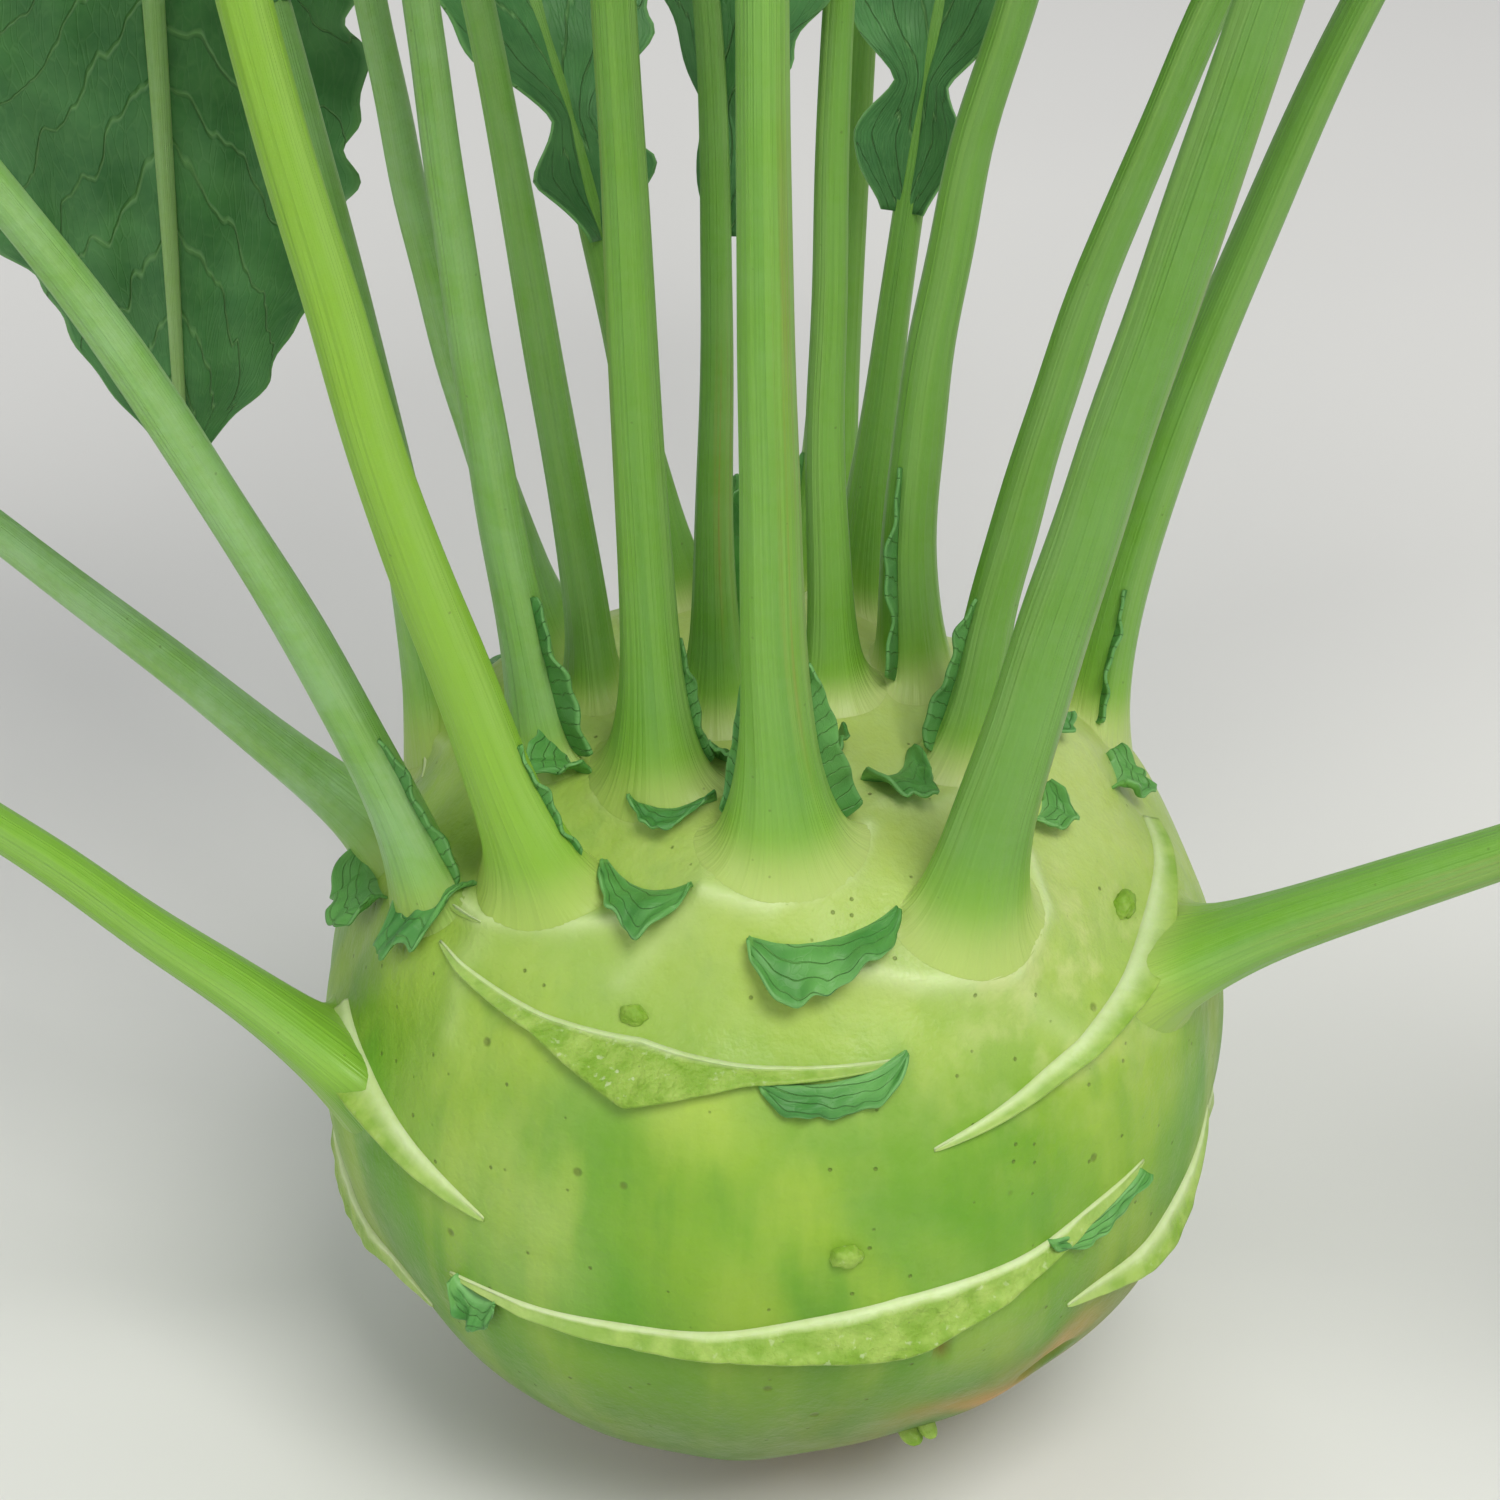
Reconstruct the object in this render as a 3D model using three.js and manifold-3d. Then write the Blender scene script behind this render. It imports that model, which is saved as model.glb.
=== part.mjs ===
// A giant kohlrabi as picked: a swollen stem with old leaf scars and twenty leaves on long stalks.
// Millimetres, +Z up. The origin is the middle of the flat foot where the stem was cut.
// Azimuth 0 is +X and azimuth -90 is the front. Latitude 0 is the widest ring of the bulb, 90 its crown.

import * as THREE from 'three';
import * as BufferGeometryUtils from 'three/addons/utils/BufferGeometryUtils.js';
import Module from 'manifold-3d';

const wasm = await Module();
wasm.setup();

// Bulb
const BULB_RADIUS = 120;
const WAIST_HEIGHT = 106;
const CROWN_RISE = 112;
const LOWER_FULLNESS = 1.15;
const UPPER_FULLNESS = 0.85;
const FOOT_RADIUS = 33;
const STUMP_HEIGHT = 6;
const STUMP_LATITUDE = -64;
const BULB_COLUMNS = 40;
const BULB_ROWS = 18;
const BULB_UNEVENNESS = 1.6;
const CROWN_LATITUDE = 89;

// Leaf scars and the ears that hang from them
const LIP_ROOT = 5;
const LIP_STEPS = 8;
const LIP_END_SIZE = 0.12;
const LIP_TOP_REACH = 0.35;
const EAR_THICKNESS = 1.4;
const EAR_ROOT = 0.35;
const EAR_GROWTH = 0.3;
const EAR_COLUMNS = [-1, -0.5, 0, 0.5, 1];
const EAR_ROWS = [-EAR_ROOT, 0.45, 1];
const EAR_CRINKLE = 1.5;
const EAR_SUNK = -2.5;
const EAR_LIFT = 2;
const EAR_CURL = 6;
const EAR_ROUNDING = 0.4;

// Leaf stalks
const STALK_SIDES = 8;
const STALK_ROOT = 16;
const STALK_FLATNESS = 0.72;
const STALK_TAPER = 0.3;
const FLARE_LENGTH = 15;
const SETTLING_LENGTH = 70;
const STEEPEST_FALL = -86;
const STALK_STATIONS = [0.045, 0.11, 0.3, 0.65];
const MIDRIB_END_RADIUS = 1.6;

// Leaf blades
const BLADE_THICKNESS = 1.2;
const BLADE_STATIONS = [0, 0.07, 0.13, 0.2, 0.32, 0.45, 0.58, 0.72, 0.87, 1];
const BLADE_OUTLINE = [0.12, 0.34, 0.15, 0.52, 0.88, 1, 0.96, 0.84, 0.52, 0.1];
const BLADE_COLUMNS = [-1, -0.6, -0.25, 0, 0.25, 0.6, 1];
const EDGE_WAVE = 0.1;

// Gap that pieces keep where they touch
const GAP = 0.32;

const bulbFlesh = new THREE.MeshStandardMaterial({ color: 0xa9cf6e, roughness: 0.42, metalness: 0 });
const stalkFlesh = new THREE.MeshStandardMaterial({ color: 0x8fbf5c, roughness: 0.4, metalness: 0 });
const leafBlade = new THREE.MeshStandardMaterial({ color: 0x3f7f5b, roughness: 0.55, metalness: 0 });

const radians = THREE.MathUtils.degToRad;

// One row a leaf, oldest first. Angles are degrees, lengths millimetres, bends degrees in 100 mm.
// azimuth, latitude: where the stalk leaves the bulb. heading, rise, bend: the stalk's compass heading,
// its slope at the base and how the slope changes. arch, turn, twist: the same for the blade.
const LEAVES = [
  { azimuth: -155, latitude: 14, heading: -160, rise: 48, bend: 0, stalk: 175, blade: 200, width: 120,
    base: 44, girth: 16, arch: -14, turn: 0, twist: 0, cup: 0.12 },
  { azimuth: -23, latitude: 29, heading: -21, rise: 33, bend: 0, stalk: 185, blade: 205, width: 120,
    base: 46, girth: 18, arch: -14, turn: 0, twist: 0, cup: 0.12 },
  { azimuth: -176, latitude: 38, heading: 178, rise: 43, bend: -0.6, stalk: 200, blade: 215, width: 125,
    base: 28, girth: 14, arch: -12, turn: 0, twist: 0, cup: 0.12 },
  { azimuth: -153, latitude: 43, heading: -148, rise: 72, bend: -5.4, stalk: 270, blade: 240, width: 140,
    base: 30, girth: 15, arch: -14, turn: 0, twist: 0, cup: 0.14 },
  { azimuth: 160, latitude: 44, heading: 122, rise: 72, bend: -6, stalk: 190, blade: 250, width: 116,
    base: 30, girth: 14, arch: -138, turn: 6, twist: 45, cup: 0.14 },
  { azimuth: 23, latitude: 45, heading: 18, rise: 78, bend: -6.4, stalk: 250, blade: 250, width: 145,
    base: 32, girth: 16, arch: -18, turn: 0, twist: 0, cup: 0.14 },
  { azimuth: 80, latitude: 50, heading: 82, rise: 68, bend: -3, stalk: 240, blade: 250, width: 150,
    base: 34, girth: 16, arch: -18, turn: 0, twist: 0, cup: 0.14 },
  { azimuth: -56, latitude: 50, heading: -57, rise: 73, bend: -0.8, stalk: 300, blade: 260, width: 159,
    base: 38, girth: 21, arch: -16, turn: 0, twist: -1, cup: 0.15 },
  { azimuth: -133, latitude: 53, heading: -135, rise: 69, bend: 4.3, stalk: 301, blade: 255, width: 148,
    base: 34, girth: 17, arch: -21, turn: 6, twist: 1, cup: 0.14 },
  { azimuth: 150, latitude: 62, heading: 164, rise: 70, bend: 7.3, stalk: 236, blade: 245, width: 135,
    base: 28, girth: 13, arch: -25, turn: -6, twist: -2, cup: 0.2 },
  { azimuth: -87, latitude: 62, heading: -104, rise: 80, bend: 4, stalk: 227, blade: 260, width: 152,
    base: 34, girth: 17, arch: -29, turn: 5, twist: 1, cup: 0.19 },
  { azimuth: -159, latitude: 65, heading: -160, rise: 81, bend: 2.6, stalk: 233, blade: 245, width: 86,
    base: 26, girth: 14, arch: -34, turn: -6, twist: 3, cup: 0.23 },
  { azimuth: -27, latitude: 68, heading: -27, rise: 82, bend: -6.6, stalk: 258, blade: 250, width: 138,
    base: 28, girth: 14, arch: -14, turn: -4, twist: -2, cup: 0.15 },
  { azimuth: -123, latitude: 70, heading: -120, rise: 86, bend: 0.5, stalk: 246, blade: 250, width: 117,
    base: 30, girth: 15, arch: -21, turn: 13, twist: 0, cup: 0.18 },
  { azimuth: 120, latitude: 70, heading: 124, rise: 70, bend: -3, stalk: 99, blade: 240, width: 96,
    base: 26, girth: 13, arch: -18, turn: 0, twist: 8, cup: 0.3 },
  { azimuth: 60, latitude: 72, heading: 64, rise: 76, bend: -3, stalk: 106, blade: 245, width: 92,
    base: 26, girth: 13, arch: -16, turn: 1, twist: -1, cup: 0.3 },
  { azimuth: -178, latitude: 73, heading: 182, rise: 84, bend: -1.4, stalk: 290, blade: 225, width: 77,
    base: 23, girth: 12, arch: -16, turn: -20, twist: -7, cup: 0.25 },
  { azimuth: 5, latitude: 77, heading: -12, rise: 92, bend: -10, stalk: 221, blade: 225, width: 111,
    base: 26, girth: 16, arch: -16, turn: -2, twist: -2, cup: 0.24 },
  { azimuth: -125, latitude: 82, heading: -125, rise: 90, bend: 0.8, stalk: 122, blade: 210, width: 66,
    base: 20, girth: 12, arch: -15, turn: -3, twist: 2, cup: 0.34 },
  { azimuth: -30, latitude: 84, heading: -30, rise: 93, bend: -3.3, stalk: 199, blade: 190, width: 74,
    base: 19, girth: 12, arch: -17, turn: 9, twist: 2, cup: 0.3 },
];

// Crescent lips left on the bulb by leaves long gone, and the long lips of the two lowest leaves.
// span is half the width in degrees, tipRise lifts both ends, tilt lifts the right end only.
const LIPS = [
  { azimuth: -104, latitude: 34, span: 38, tipRise: 2, tilt: -2, depth: 15, reach: 6 },
  { azimuth: -84, latitude: 0.5, span: 45, tipRise: 3, tilt: 5, depth: 14, reach: 6 },
  { azimuth: -33, latitude: -7, span: 19, tipRise: 3, tilt: 3, depth: 9, reach: 4 },
  { azimuth: -148, latitude: 16, span: 24, tipRise: -1, tilt: -6, depth: 9, reach: 6 },
  { azimuth: -30, latitude: 32, span: 40, tipRise: 0, tilt: 9, depth: 9, reach: 7 },
  { azimuth: 60, latitude: 22, span: 40, tipRise: 3, tilt: -4, depth: 14, reach: 6 },
  { azimuth: 146, latitude: 24, span: 38, tipRise: 3, tilt: 4, depth: 14, reach: 6 },
  { azimuth: 22, latitude: -12, span: 34, tipRise: 3, tilt: -3, depth: 12, reach: 5 },
  { azimuth: 112, latitude: -6, span: 40, tipRise: 3, tilt: 3, depth: 13, reach: 5 },
  { azimuth: -168, latitude: -14, span: 32, tipRise: 3, tilt: -3, depth: 11, reach: 5 },
];

// Crinkled ears: azimuth and latitude of the edge they hang from, half width in degrees, drop in degrees.
const EARS = [
  { azimuth: -79, latitude: 35, half: 8, drop: 6.5 },
  { azimuth: -125, latitude: -3, half: 3, drop: 5 },
  { azimuth: -45, latitude: 6, half: 7, drop: 3 },
  { azimuth: -112, latitude: 67, half: 12, drop: 6 },
  { azimuth: -53, latitude: 71, half: 11, drop: 9 },
  { azimuth: -108, latitude: 54, half: 7, drop: 8 },
  { azimuth: -82, latitude: 50, half: 10, drop: 8 },
  { azimuth: -142, latitude: 37, half: 5, drop: 8 },
  { azimuth: -164, latitude: 32, half: 6, drop: 8 },
  { azimuth: -27, latitude: 55, half: 5, drop: 5 },
  { azimuth: 1, latitude: 46, half: 5, drop: 6 },
  { azimuth: 45, latitude: 46, half: 6, drop: 7 },
  { azimuth: 104, latitude: 49, half: 6, drop: 7 },
  { azimuth: 138, latitude: 44, half: 6, drop: 7 },
  { azimuth: 91, latitude: 22, half: 6, drop: 6 },
  { azimuth: 116, latitude: 24, half: 6, drop: 6 },
];

// Small buds that sit in the angle above a scar.
const BUDS = [
  { azimuth: -109, latitude: 39 },
  { azimuth: -81, latitude: 11 },
  { azimuth: -25, latitude: 38 },
  { azimuth: 60, latitude: 29 },
  { azimuth: 146, latitude: 31 },
  { azimuth: 112, latitude: 2 },
];
const BUD_RADIUS = 3.6;

// The growing point: radius and height pairs of its bud, and the short leaves wrapped round it.
const HEART_AZIMUTH = 95;
const HEART_LATITUDE = 83;
const HEART_BUD = [[10, -8], [9.6, 3], [3.4, 8], [3, 20], [0.8, 27]];
const HEART_LEAVES = 3;
const HEART_RADIUS = 5;
const HEART_SPACING = 2.1;
const HEART_LENGTH = 50;
const HEART_WRAP = 62;
const HEART_STATIONS = [-0.08, 0.25, 0.6, 0.88, 1];
const HEART_OUTLINE = [0.7, 0.85, 1, 0.7, 0.15];
const GOLDEN_ANGLE = 137.5;

function bulbProfile(latitude) {
  const angle = radians(latitude);
  const upper = latitude >= 0;
  const fullness = upper ? UPPER_FULLNESS : LOWER_FULLNESS;
  return {
    radius: BULB_RADIUS * Math.max(Math.cos(angle), 0) ** fullness,
    height: WAIST_HEIGHT + (upper ? CROWN_RISE : WAIST_HEIGHT) * Math.sin(angle),
  };
}

// Point on the bulb, its outward normal, and the two directions along the skin.
function bulbSkin(azimuth, latitude, lift = 0) {
  const step = 0.5;
  const here = bulbProfile(latitude);
  const below = bulbProfile(latitude - step);
  const above = bulbProfile(Math.min(latitude + step, 90));
  const slope = Math.hypot(above.radius - below.radius, above.height - below.height);
  const out = (above.height - below.height) / slope;
  const rise = (below.radius - above.radius) / slope;
  const turn = radians(azimuth);
  const uneven = BULB_UNEVENNESS * Math.cos(radians(latitude))
    * (Math.sin(3 * turn + 0.6) + 0.7 * Math.sin(5 * turn + radians(latitude) * 2));
  const normal = new THREE.Vector3(out * Math.cos(turn), out * Math.sin(turn), rise);
  const side = new THREE.Vector3(-Math.sin(turn), Math.cos(turn), 0);
  const up = new THREE.Vector3().crossVectors(normal, side);
  const point = new THREE.Vector3(
    here.radius * Math.cos(turn), here.radius * Math.sin(turn), here.height,
  ).addScaledVector(normal, lift + uneven);
  return { point, normal, side, up };
}

// Solid from flat lists: triangles face outwards, or the whole list is turned over.
function solidFrom(points, triangles) {
  const positions = new Float32Array(points.flatMap((p) => [p.x, p.y, p.z]));
  const geometry = new THREE.BufferGeometry();
  geometry.setAttribute('position', new THREE.BufferAttribute(positions, 3));
  geometry.setIndex(triangles.flat());
  const merged = BufferGeometryUtils.mergeVertices(geometry, 1e-4);
  const vertProperties = merged.attributes.position.array;
  const triVerts = new Uint32Array(merged.index.array);
  let volume = 0;
  const corner = (n) => new THREE.Vector3().fromArray(vertProperties, triVerts[n] * 3);
  for (let n = 0; n < triVerts.length; n += 3) {
    volume += corner(n).dot(new THREE.Vector3().crossVectors(corner(n + 1), corner(n + 2)));
  }
  if (volume < 0) {
    for (let n = 0; n < triVerts.length; n += 3) {
      [triVerts[n + 1], triVerts[n + 2]] = [triVerts[n + 2], triVerts[n + 1]];
    }
  }
  return new wasm.Manifold(new wasm.Mesh({ numProp: 3, vertProperties, triVerts }));
}

// Closed skin through rings of points, with a fan over each end.
function ringSolid(rings) {
  const count = rings[0].length;
  const points = rings.flat();
  const triangles = [];
  for (let r = 0; r + 1 < rings.length; r += 1) {
    for (let k = 0; k < count; k += 1) {
      const a = r * count + k;
      const b = r * count + ((k + 1) % count);
      triangles.push([a, b, b + count], [a, b + count, a + count]);
    }
  }
  const middle = (ring) => ring
    .reduce((sum, p) => sum.add(p), new THREE.Vector3()).divideScalar(ring.length);
  const last = (rings.length - 1) * count;
  points.push(middle(rings[0]), middle(rings[rings.length - 1]));
  for (let k = 0; k < count; k += 1) {
    const next = (k + 1) % count;
    triangles.push([points.length - 2, next, k]);
    triangles.push([points.length - 1, last + k, last + next]);
  }
  return solidFrom(points, triangles);
}

// Thin sheet round a grid of middle points: both faces are split into the same triangles.
function sheetSolid(grid, thickness) {
  const rows = grid.length;
  const columns = grid[0].length;
  const at = (r, c) => grid[THREE.MathUtils.clamp(r, 0, rows - 1)][THREE.MathUtils.clamp(c, 0, columns - 1)];
  const faces = [[], []];
  for (let r = 0; r < rows; r += 1) {
    for (let c = 0; c < columns; c += 1) {
      const along = new THREE.Vector3().subVectors(at(r + 1, c), at(r - 1, c));
      const across = new THREE.Vector3().subVectors(at(r, c + 1), at(r, c - 1));
      const normal = new THREE.Vector3().crossVectors(along, across).normalize();
      faces[0].push(at(r, c).clone().addScaledVector(normal, thickness / 2));
      faces[1].push(at(r, c).clone().addScaledVector(normal, -thickness / 2));
    }
  }
  const other = rows * columns;
  const triangles = [];
  for (let r = 0; r + 1 < rows; r += 1) {
    for (let c = 0; c + 1 < columns; c += 1) {
      const a = r * columns + c;
      const b = a + 1;
      const d = a + columns;
      const e = d + 1;
      triangles.push([a, b, e], [a, e, d]);
      triangles.push([other + a, other + e, other + b], [other + a, other + d, other + e]);
    }
  }
  const wall = (a, b) => triangles.push([b, a, other + a], [b, other + a, other + b]);
  for (let c = 0; c + 1 < columns; c += 1) {
    wall(c, c + 1);
    wall(other - columns + c + 1, other - columns + c);
  }
  for (let r = 0; r + 1 < rows; r += 1) {
    wall((r + 1) * columns, r * columns);
    wall((r + 1) * columns - 1, (r + 2) * columns - 1);
  }
  return solidFrom([...faces[0], ...faces[1]], triangles);
}

function join(solids) {
  return solids.reduce((whole, solid) => whole.add(solid));
}

// The swollen stem: rings from the flat foot to the crown.
function bulbBody(swell) {
  const rings = [];
  const ring = (radius, height) => Array.from({ length: BULB_COLUMNS }, (_, k) => {
    const turn = (2 * Math.PI * k) / BULB_COLUMNS;
    return new THREE.Vector3(radius * Math.cos(turn), radius * Math.sin(turn), height);
  });
  rings.push(ring(FOOT_RADIUS + swell, 0), ring(FOOT_RADIUS + swell, STUMP_HEIGHT));
  for (let r = 0; r < BULB_ROWS; r += 1) {
    const latitude = STUMP_LATITUDE + ((CROWN_LATITUDE - STUMP_LATITUDE) * r) / (BULB_ROWS - 1);
    rings.push(Array.from(
      { length: BULB_COLUMNS },
      (_, k) => bulbSkin((360 * k) / BULB_COLUMNS, latitude, swell).point,
    ));
  }
  return ringSolid(rings);
}

// A crescent lip: a face that slopes out to its lower edge, deepest in the middle, running out at both ends.
function lipSolid(lip, swell) {
  const rings = [];
  for (let n = 0; n <= LIP_STEPS; n += 1) {
    const t = (2 * n) / LIP_STEPS - 1;
    const size = LIP_END_SIZE + (1 - LIP_END_SIZE) * (1 - t * t) ** 0.7;
    const latitude = lip.latitude + lip.tipRise * t * t + lip.tilt * t;
    const skin = bulbSkin(lip.azimuth + lip.span * t, latitude);
    const half = (lip.depth / 2) * size;
    const corner = (out, up) => skin.point.clone()
      .addScaledVector(skin.normal, out).addScaledVector(skin.up, up);
    rings.push([
      corner(-LIP_ROOT, -half - swell),
      corner(lip.reach * size + swell, -half - swell),
      corner(lip.reach * size * LIP_TOP_REACH + swell, half + swell),
      corner(-LIP_ROOT, half + swell),
    ]);
  }
  return ringSolid(rings);
}

// An ear: a small crinkled flap that hangs outwards from its upper edge.
function earSolid(ear, swell) {
  const grow = 1 + EAR_GROWTH * swell;
  const grid = EAR_ROWS.map((down) => EAR_COLUMNS.map((t, c) => {
    const reach = down < 0 ? down : down * (1 - EAR_ROUNDING * t * t) * grow;
    const crinkle = (c % 2 === 0 ? EAR_CRINKLE : -EAR_CRINKLE) * reach;
    const lift = down < 0 ? EAR_SUNK : EAR_LIFT + EAR_CURL * reach + crinkle;
    return bulbSkin(ear.azimuth + ear.half * t * grow, ear.latitude - ear.drop * reach, lift).point;
  }));
  return sheetSolid(grid, EAR_THICKNESS + 2 * swell);
}

function budSolid(bud, swell) {
  const ring = (lift, radius) => Array.from({ length: 6 }, (_, k) => {
    const skin = bulbSkin(bud.azimuth, bud.latitude, lift);
    const turn = (Math.PI * k) / 3;
    return skin.point
      .addScaledVector(skin.side, radius * Math.cos(turn))
      .addScaledVector(skin.up, radius * Math.sin(turn));
  });
  const radius = BUD_RADIUS + swell;
  return ringSolid([ring(-4, radius), ring(1.5, radius), ring(4.5, radius * 0.7), ring(6.5, radius * 0.2)]);
}

function bulbSolid(swell) {
  return join([
    bulbBody(swell),
    ...LIPS.map((lip) => lipSolid(lip, swell)),
    ...EARS.map((ear) => earSolid(ear, swell)),
    ...BUDS.map((bud) => budSolid(bud, swell)),
  ]);
}

// The line a leaf follows: stalk first, then midrib, as points with their three directions.
function leafLine(leaf, stations) {
  const base = bulbSkin(leaf.azimuth, leaf.latitude).point;
  const step = 4;
  const length = leaf.stalk + leaf.blade;
  const direction = (heading, slope) => new THREE.Vector3(
    Math.cos(radians(slope)) * Math.cos(radians(heading)),
    Math.cos(radians(slope)) * Math.sin(radians(heading)),
    Math.sin(radians(slope)),
  );
  const pose = (s) => {
    const onBlade = Math.max(s - leaf.stalk, 0);
    const onStalk = Math.min(Math.max(s, 0), leaf.stalk);
    const slope = leaf.rise + (leaf.bend * onStalk + leaf.arch * onBlade) / 100;
    return { heading: leaf.heading + (leaf.turn * onBlade) / 100, slope: Math.max(slope, STEEPEST_FALL) };
  };
  const place = (s) => {
    const point = base.clone();
    const count = Math.max(Math.ceil(Math.abs(s) / step), 1);
    for (let n = 0; n < count; n += 1) {
      const at = pose((s * (n + 0.5)) / count);
      point.addScaledVector(direction(at.heading, at.slope), s / count);
    }
    return point;
  };
  return stations.map((s) => {
    const at = pose(s);
    const ahead = direction(at.heading, at.slope);
    const settled = THREE.MathUtils.smoothstep(s, 0, SETTLING_LENGTH);
    let offset = leaf.azimuth - leaf.heading;
    offset -= 360 * Math.round(offset / 360);
    const facing = radians(at.heading + offset * (1 - settled));
    const side = new THREE.Vector3(-Math.sin(facing), Math.cos(facing), 0);
    side.addScaledVector(ahead, -side.dot(ahead)).normalize();
    const twist = radians(leaf.twist * THREE.MathUtils.smoothstep(s, leaf.stalk * 0.8, length));
    side.applyAxisAngle(ahead, twist);
    const inner = new THREE.Vector3().crossVectors(ahead, side);
    return { s, point: place(s), ahead, side, inner };
  });
}

function stalkRadius(leaf, s) {
  const along = THREE.MathUtils.clamp(s / leaf.stalk, 0, 1);
  const onBlade = THREE.MathUtils.clamp((s - leaf.stalk) / leaf.blade, 0, 1);
  const top = leaf.girth * STALK_TAPER;
  return top + (leaf.girth / 2 - top) * (1 - along) ** 1.5 + (MIDRIB_END_RADIUS - top) * onBlade;
}

function bladeStations(leaf) {
  return BLADE_STATIONS.map((t) => leaf.stalk + t * leaf.blade);
}

// Stalk and midrib in one: a wide clasping base, a stem flat on its inner side, a thin keel at the end.
function stalkSolid(leaf) {
  const stations = [
    -STALK_ROOT, 0, ...STALK_STATIONS.map((t) => t * leaf.stalk), ...bladeStations(leaf).slice(0, -1),
  ];
  const hug = bulbProfile(leaf.latitude).radius + leaf.girth;
  const rings = leafLine(leaf, stations).map(({ s, point, side, inner }) => {
    const radius = stalkRadius(leaf, s);
    const flare = Math.exp(-((Math.max(s, 0) / FLARE_LENGTH) ** 1.3));
    const halfWidth = radius + (leaf.base / 2 - radius) * flare;
    return Array.from({ length: STALK_SIDES }, (_, k) => {
      const turn = (2 * Math.PI * k) / STALK_SIDES;
      const x = halfWidth * Math.cos(turn);
      const flat = Math.sin(turn) > 0 ? STALK_FLATNESS : 1;
      const y = radius * Math.sin(turn) * flat + (flare * x * x) / (2 * hug);
      return point.clone().addScaledVector(side, x).addScaledVector(inner, y);
    });
  });
  return ringSolid(rings);
}

// Blade: a waved sheet with lobes at its foot, seated on the inner side of the midrib.
function bladeSolid(leaf) {
  const grid = leafLine(leaf, bladeStations(leaf)).map(({ s, point, side, inner }, row) => {
    const seat = stalkRadius(leaf, s) * STALK_FLATNESS + GAP + BLADE_THICKNESS / 2;
    const half = (leaf.width / 2) * BLADE_OUTLINE[row];
    return BLADE_COLUMNS.map((across) => {
      const wave = (row % 2 === 0 ? 1 : -1) * Math.sign(across) * EDGE_WAVE * across * across;
      const lift = seat + half * (leaf.cup * Math.abs(across) ** 1.5 + wave);
      return point.clone().addScaledVector(side, half * across).addScaledVector(inner, lift);
    });
  });
  return sheetSolid(grid, BLADE_THICKNESS);
}

// The growing point: short cupped leaves wrapped round a bud, the longest outside.
function heartSolid() {
  const root = bulbSkin(HEART_AZIMUTH, HEART_LATITUDE).point;
  const place = (turn, radius, height) => root.clone().add(
    new THREE.Vector3(radius * Math.cos(turn), radius * Math.sin(turn), height),
  );
  const bud = ringSolid(HEART_BUD.map(([radius, height]) => Array.from(
    { length: 8 },
    (_, k) => place((Math.PI * k) / 4, radius, height),
  )));
  const leaves = Array.from({ length: HEART_LEAVES }, (_, n) => {
    const length = HEART_LENGTH * (0.64 + 0.18 * n);
    const grid = HEART_STATIONS.map((t, row) => [-1, -0.5, 0, 0.5, 1].map((across) => {
      const turn = radians(GOLDEN_ANGLE * n + HEART_WRAP * HEART_OUTLINE[row] * across);
      const wave = (row % 2 === 0 ? 0.5 : -0.5) * across;
      return place(turn, HEART_RADIUS + HEART_SPACING * n + 3 * t * t + wave, length * t);
    }));
    return sheetSolid(grid, BLADE_THICKNESS);
  });
  return join([bud, ...leaves]);
}

// The largest body of a solid: a cut can leave loose scraps.
function withoutScraps(solid) {
  const bodies = solid.decompose();
  return bodies.reduce((best, body) => (body.volume() > best.volume() ? body : best));
}

function meshOf(solid, name, material) {
  const { vertProperties, triVerts } = withoutScraps(solid).getMesh();
  const geometry = new THREE.BufferGeometry();
  geometry.setAttribute('position', new THREE.BufferAttribute(new Float32Array(vertProperties), 3));
  geometry.setIndex(new THREE.BufferAttribute(new Uint32Array(triVerts), 1));
  const mesh = new THREE.Mesh(geometry, material);
  mesh.name = name;
  return mesh;
}

const kohlrabi = new THREE.Group();
kohlrabi.name = 'kohlrabi';

const clearance = bulbSolid(GAP);
kohlrabi.add(meshOf(bulbSolid(0), 'bulb', bulbFlesh));
kohlrabi.add(meshOf(heartSolid().subtract(clearance), 'heart', leafBlade));

LEAVES.forEach((leaf, n) => {
  const name = `leaf_${String(n + 1).padStart(2, '0')}`;
  kohlrabi.add(meshOf(stalkSolid(leaf).subtract(clearance), `${name}_stalk`, stalkFlesh));
  kohlrabi.add(meshOf(bladeSolid(leaf), `${name}_blade`, leafBlade));
});

export default kohlrabi;
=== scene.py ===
"""A giant kohlrabi as picked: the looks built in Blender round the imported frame.

Shapes are worked out in millimetres, in the frame of the CAD part: the origin is the middle of the flat
foot, +Z is up and -Y is the front. Azimuth 0 is +X and azimuth -90 is the front. Latitude 0 is the widest
ring of the bulb and 90 its crown. Meshes are written in metres.
"""

import logging
import math
from collections.abc import Callable
from dataclasses import dataclass, field
from enum import Enum

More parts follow.
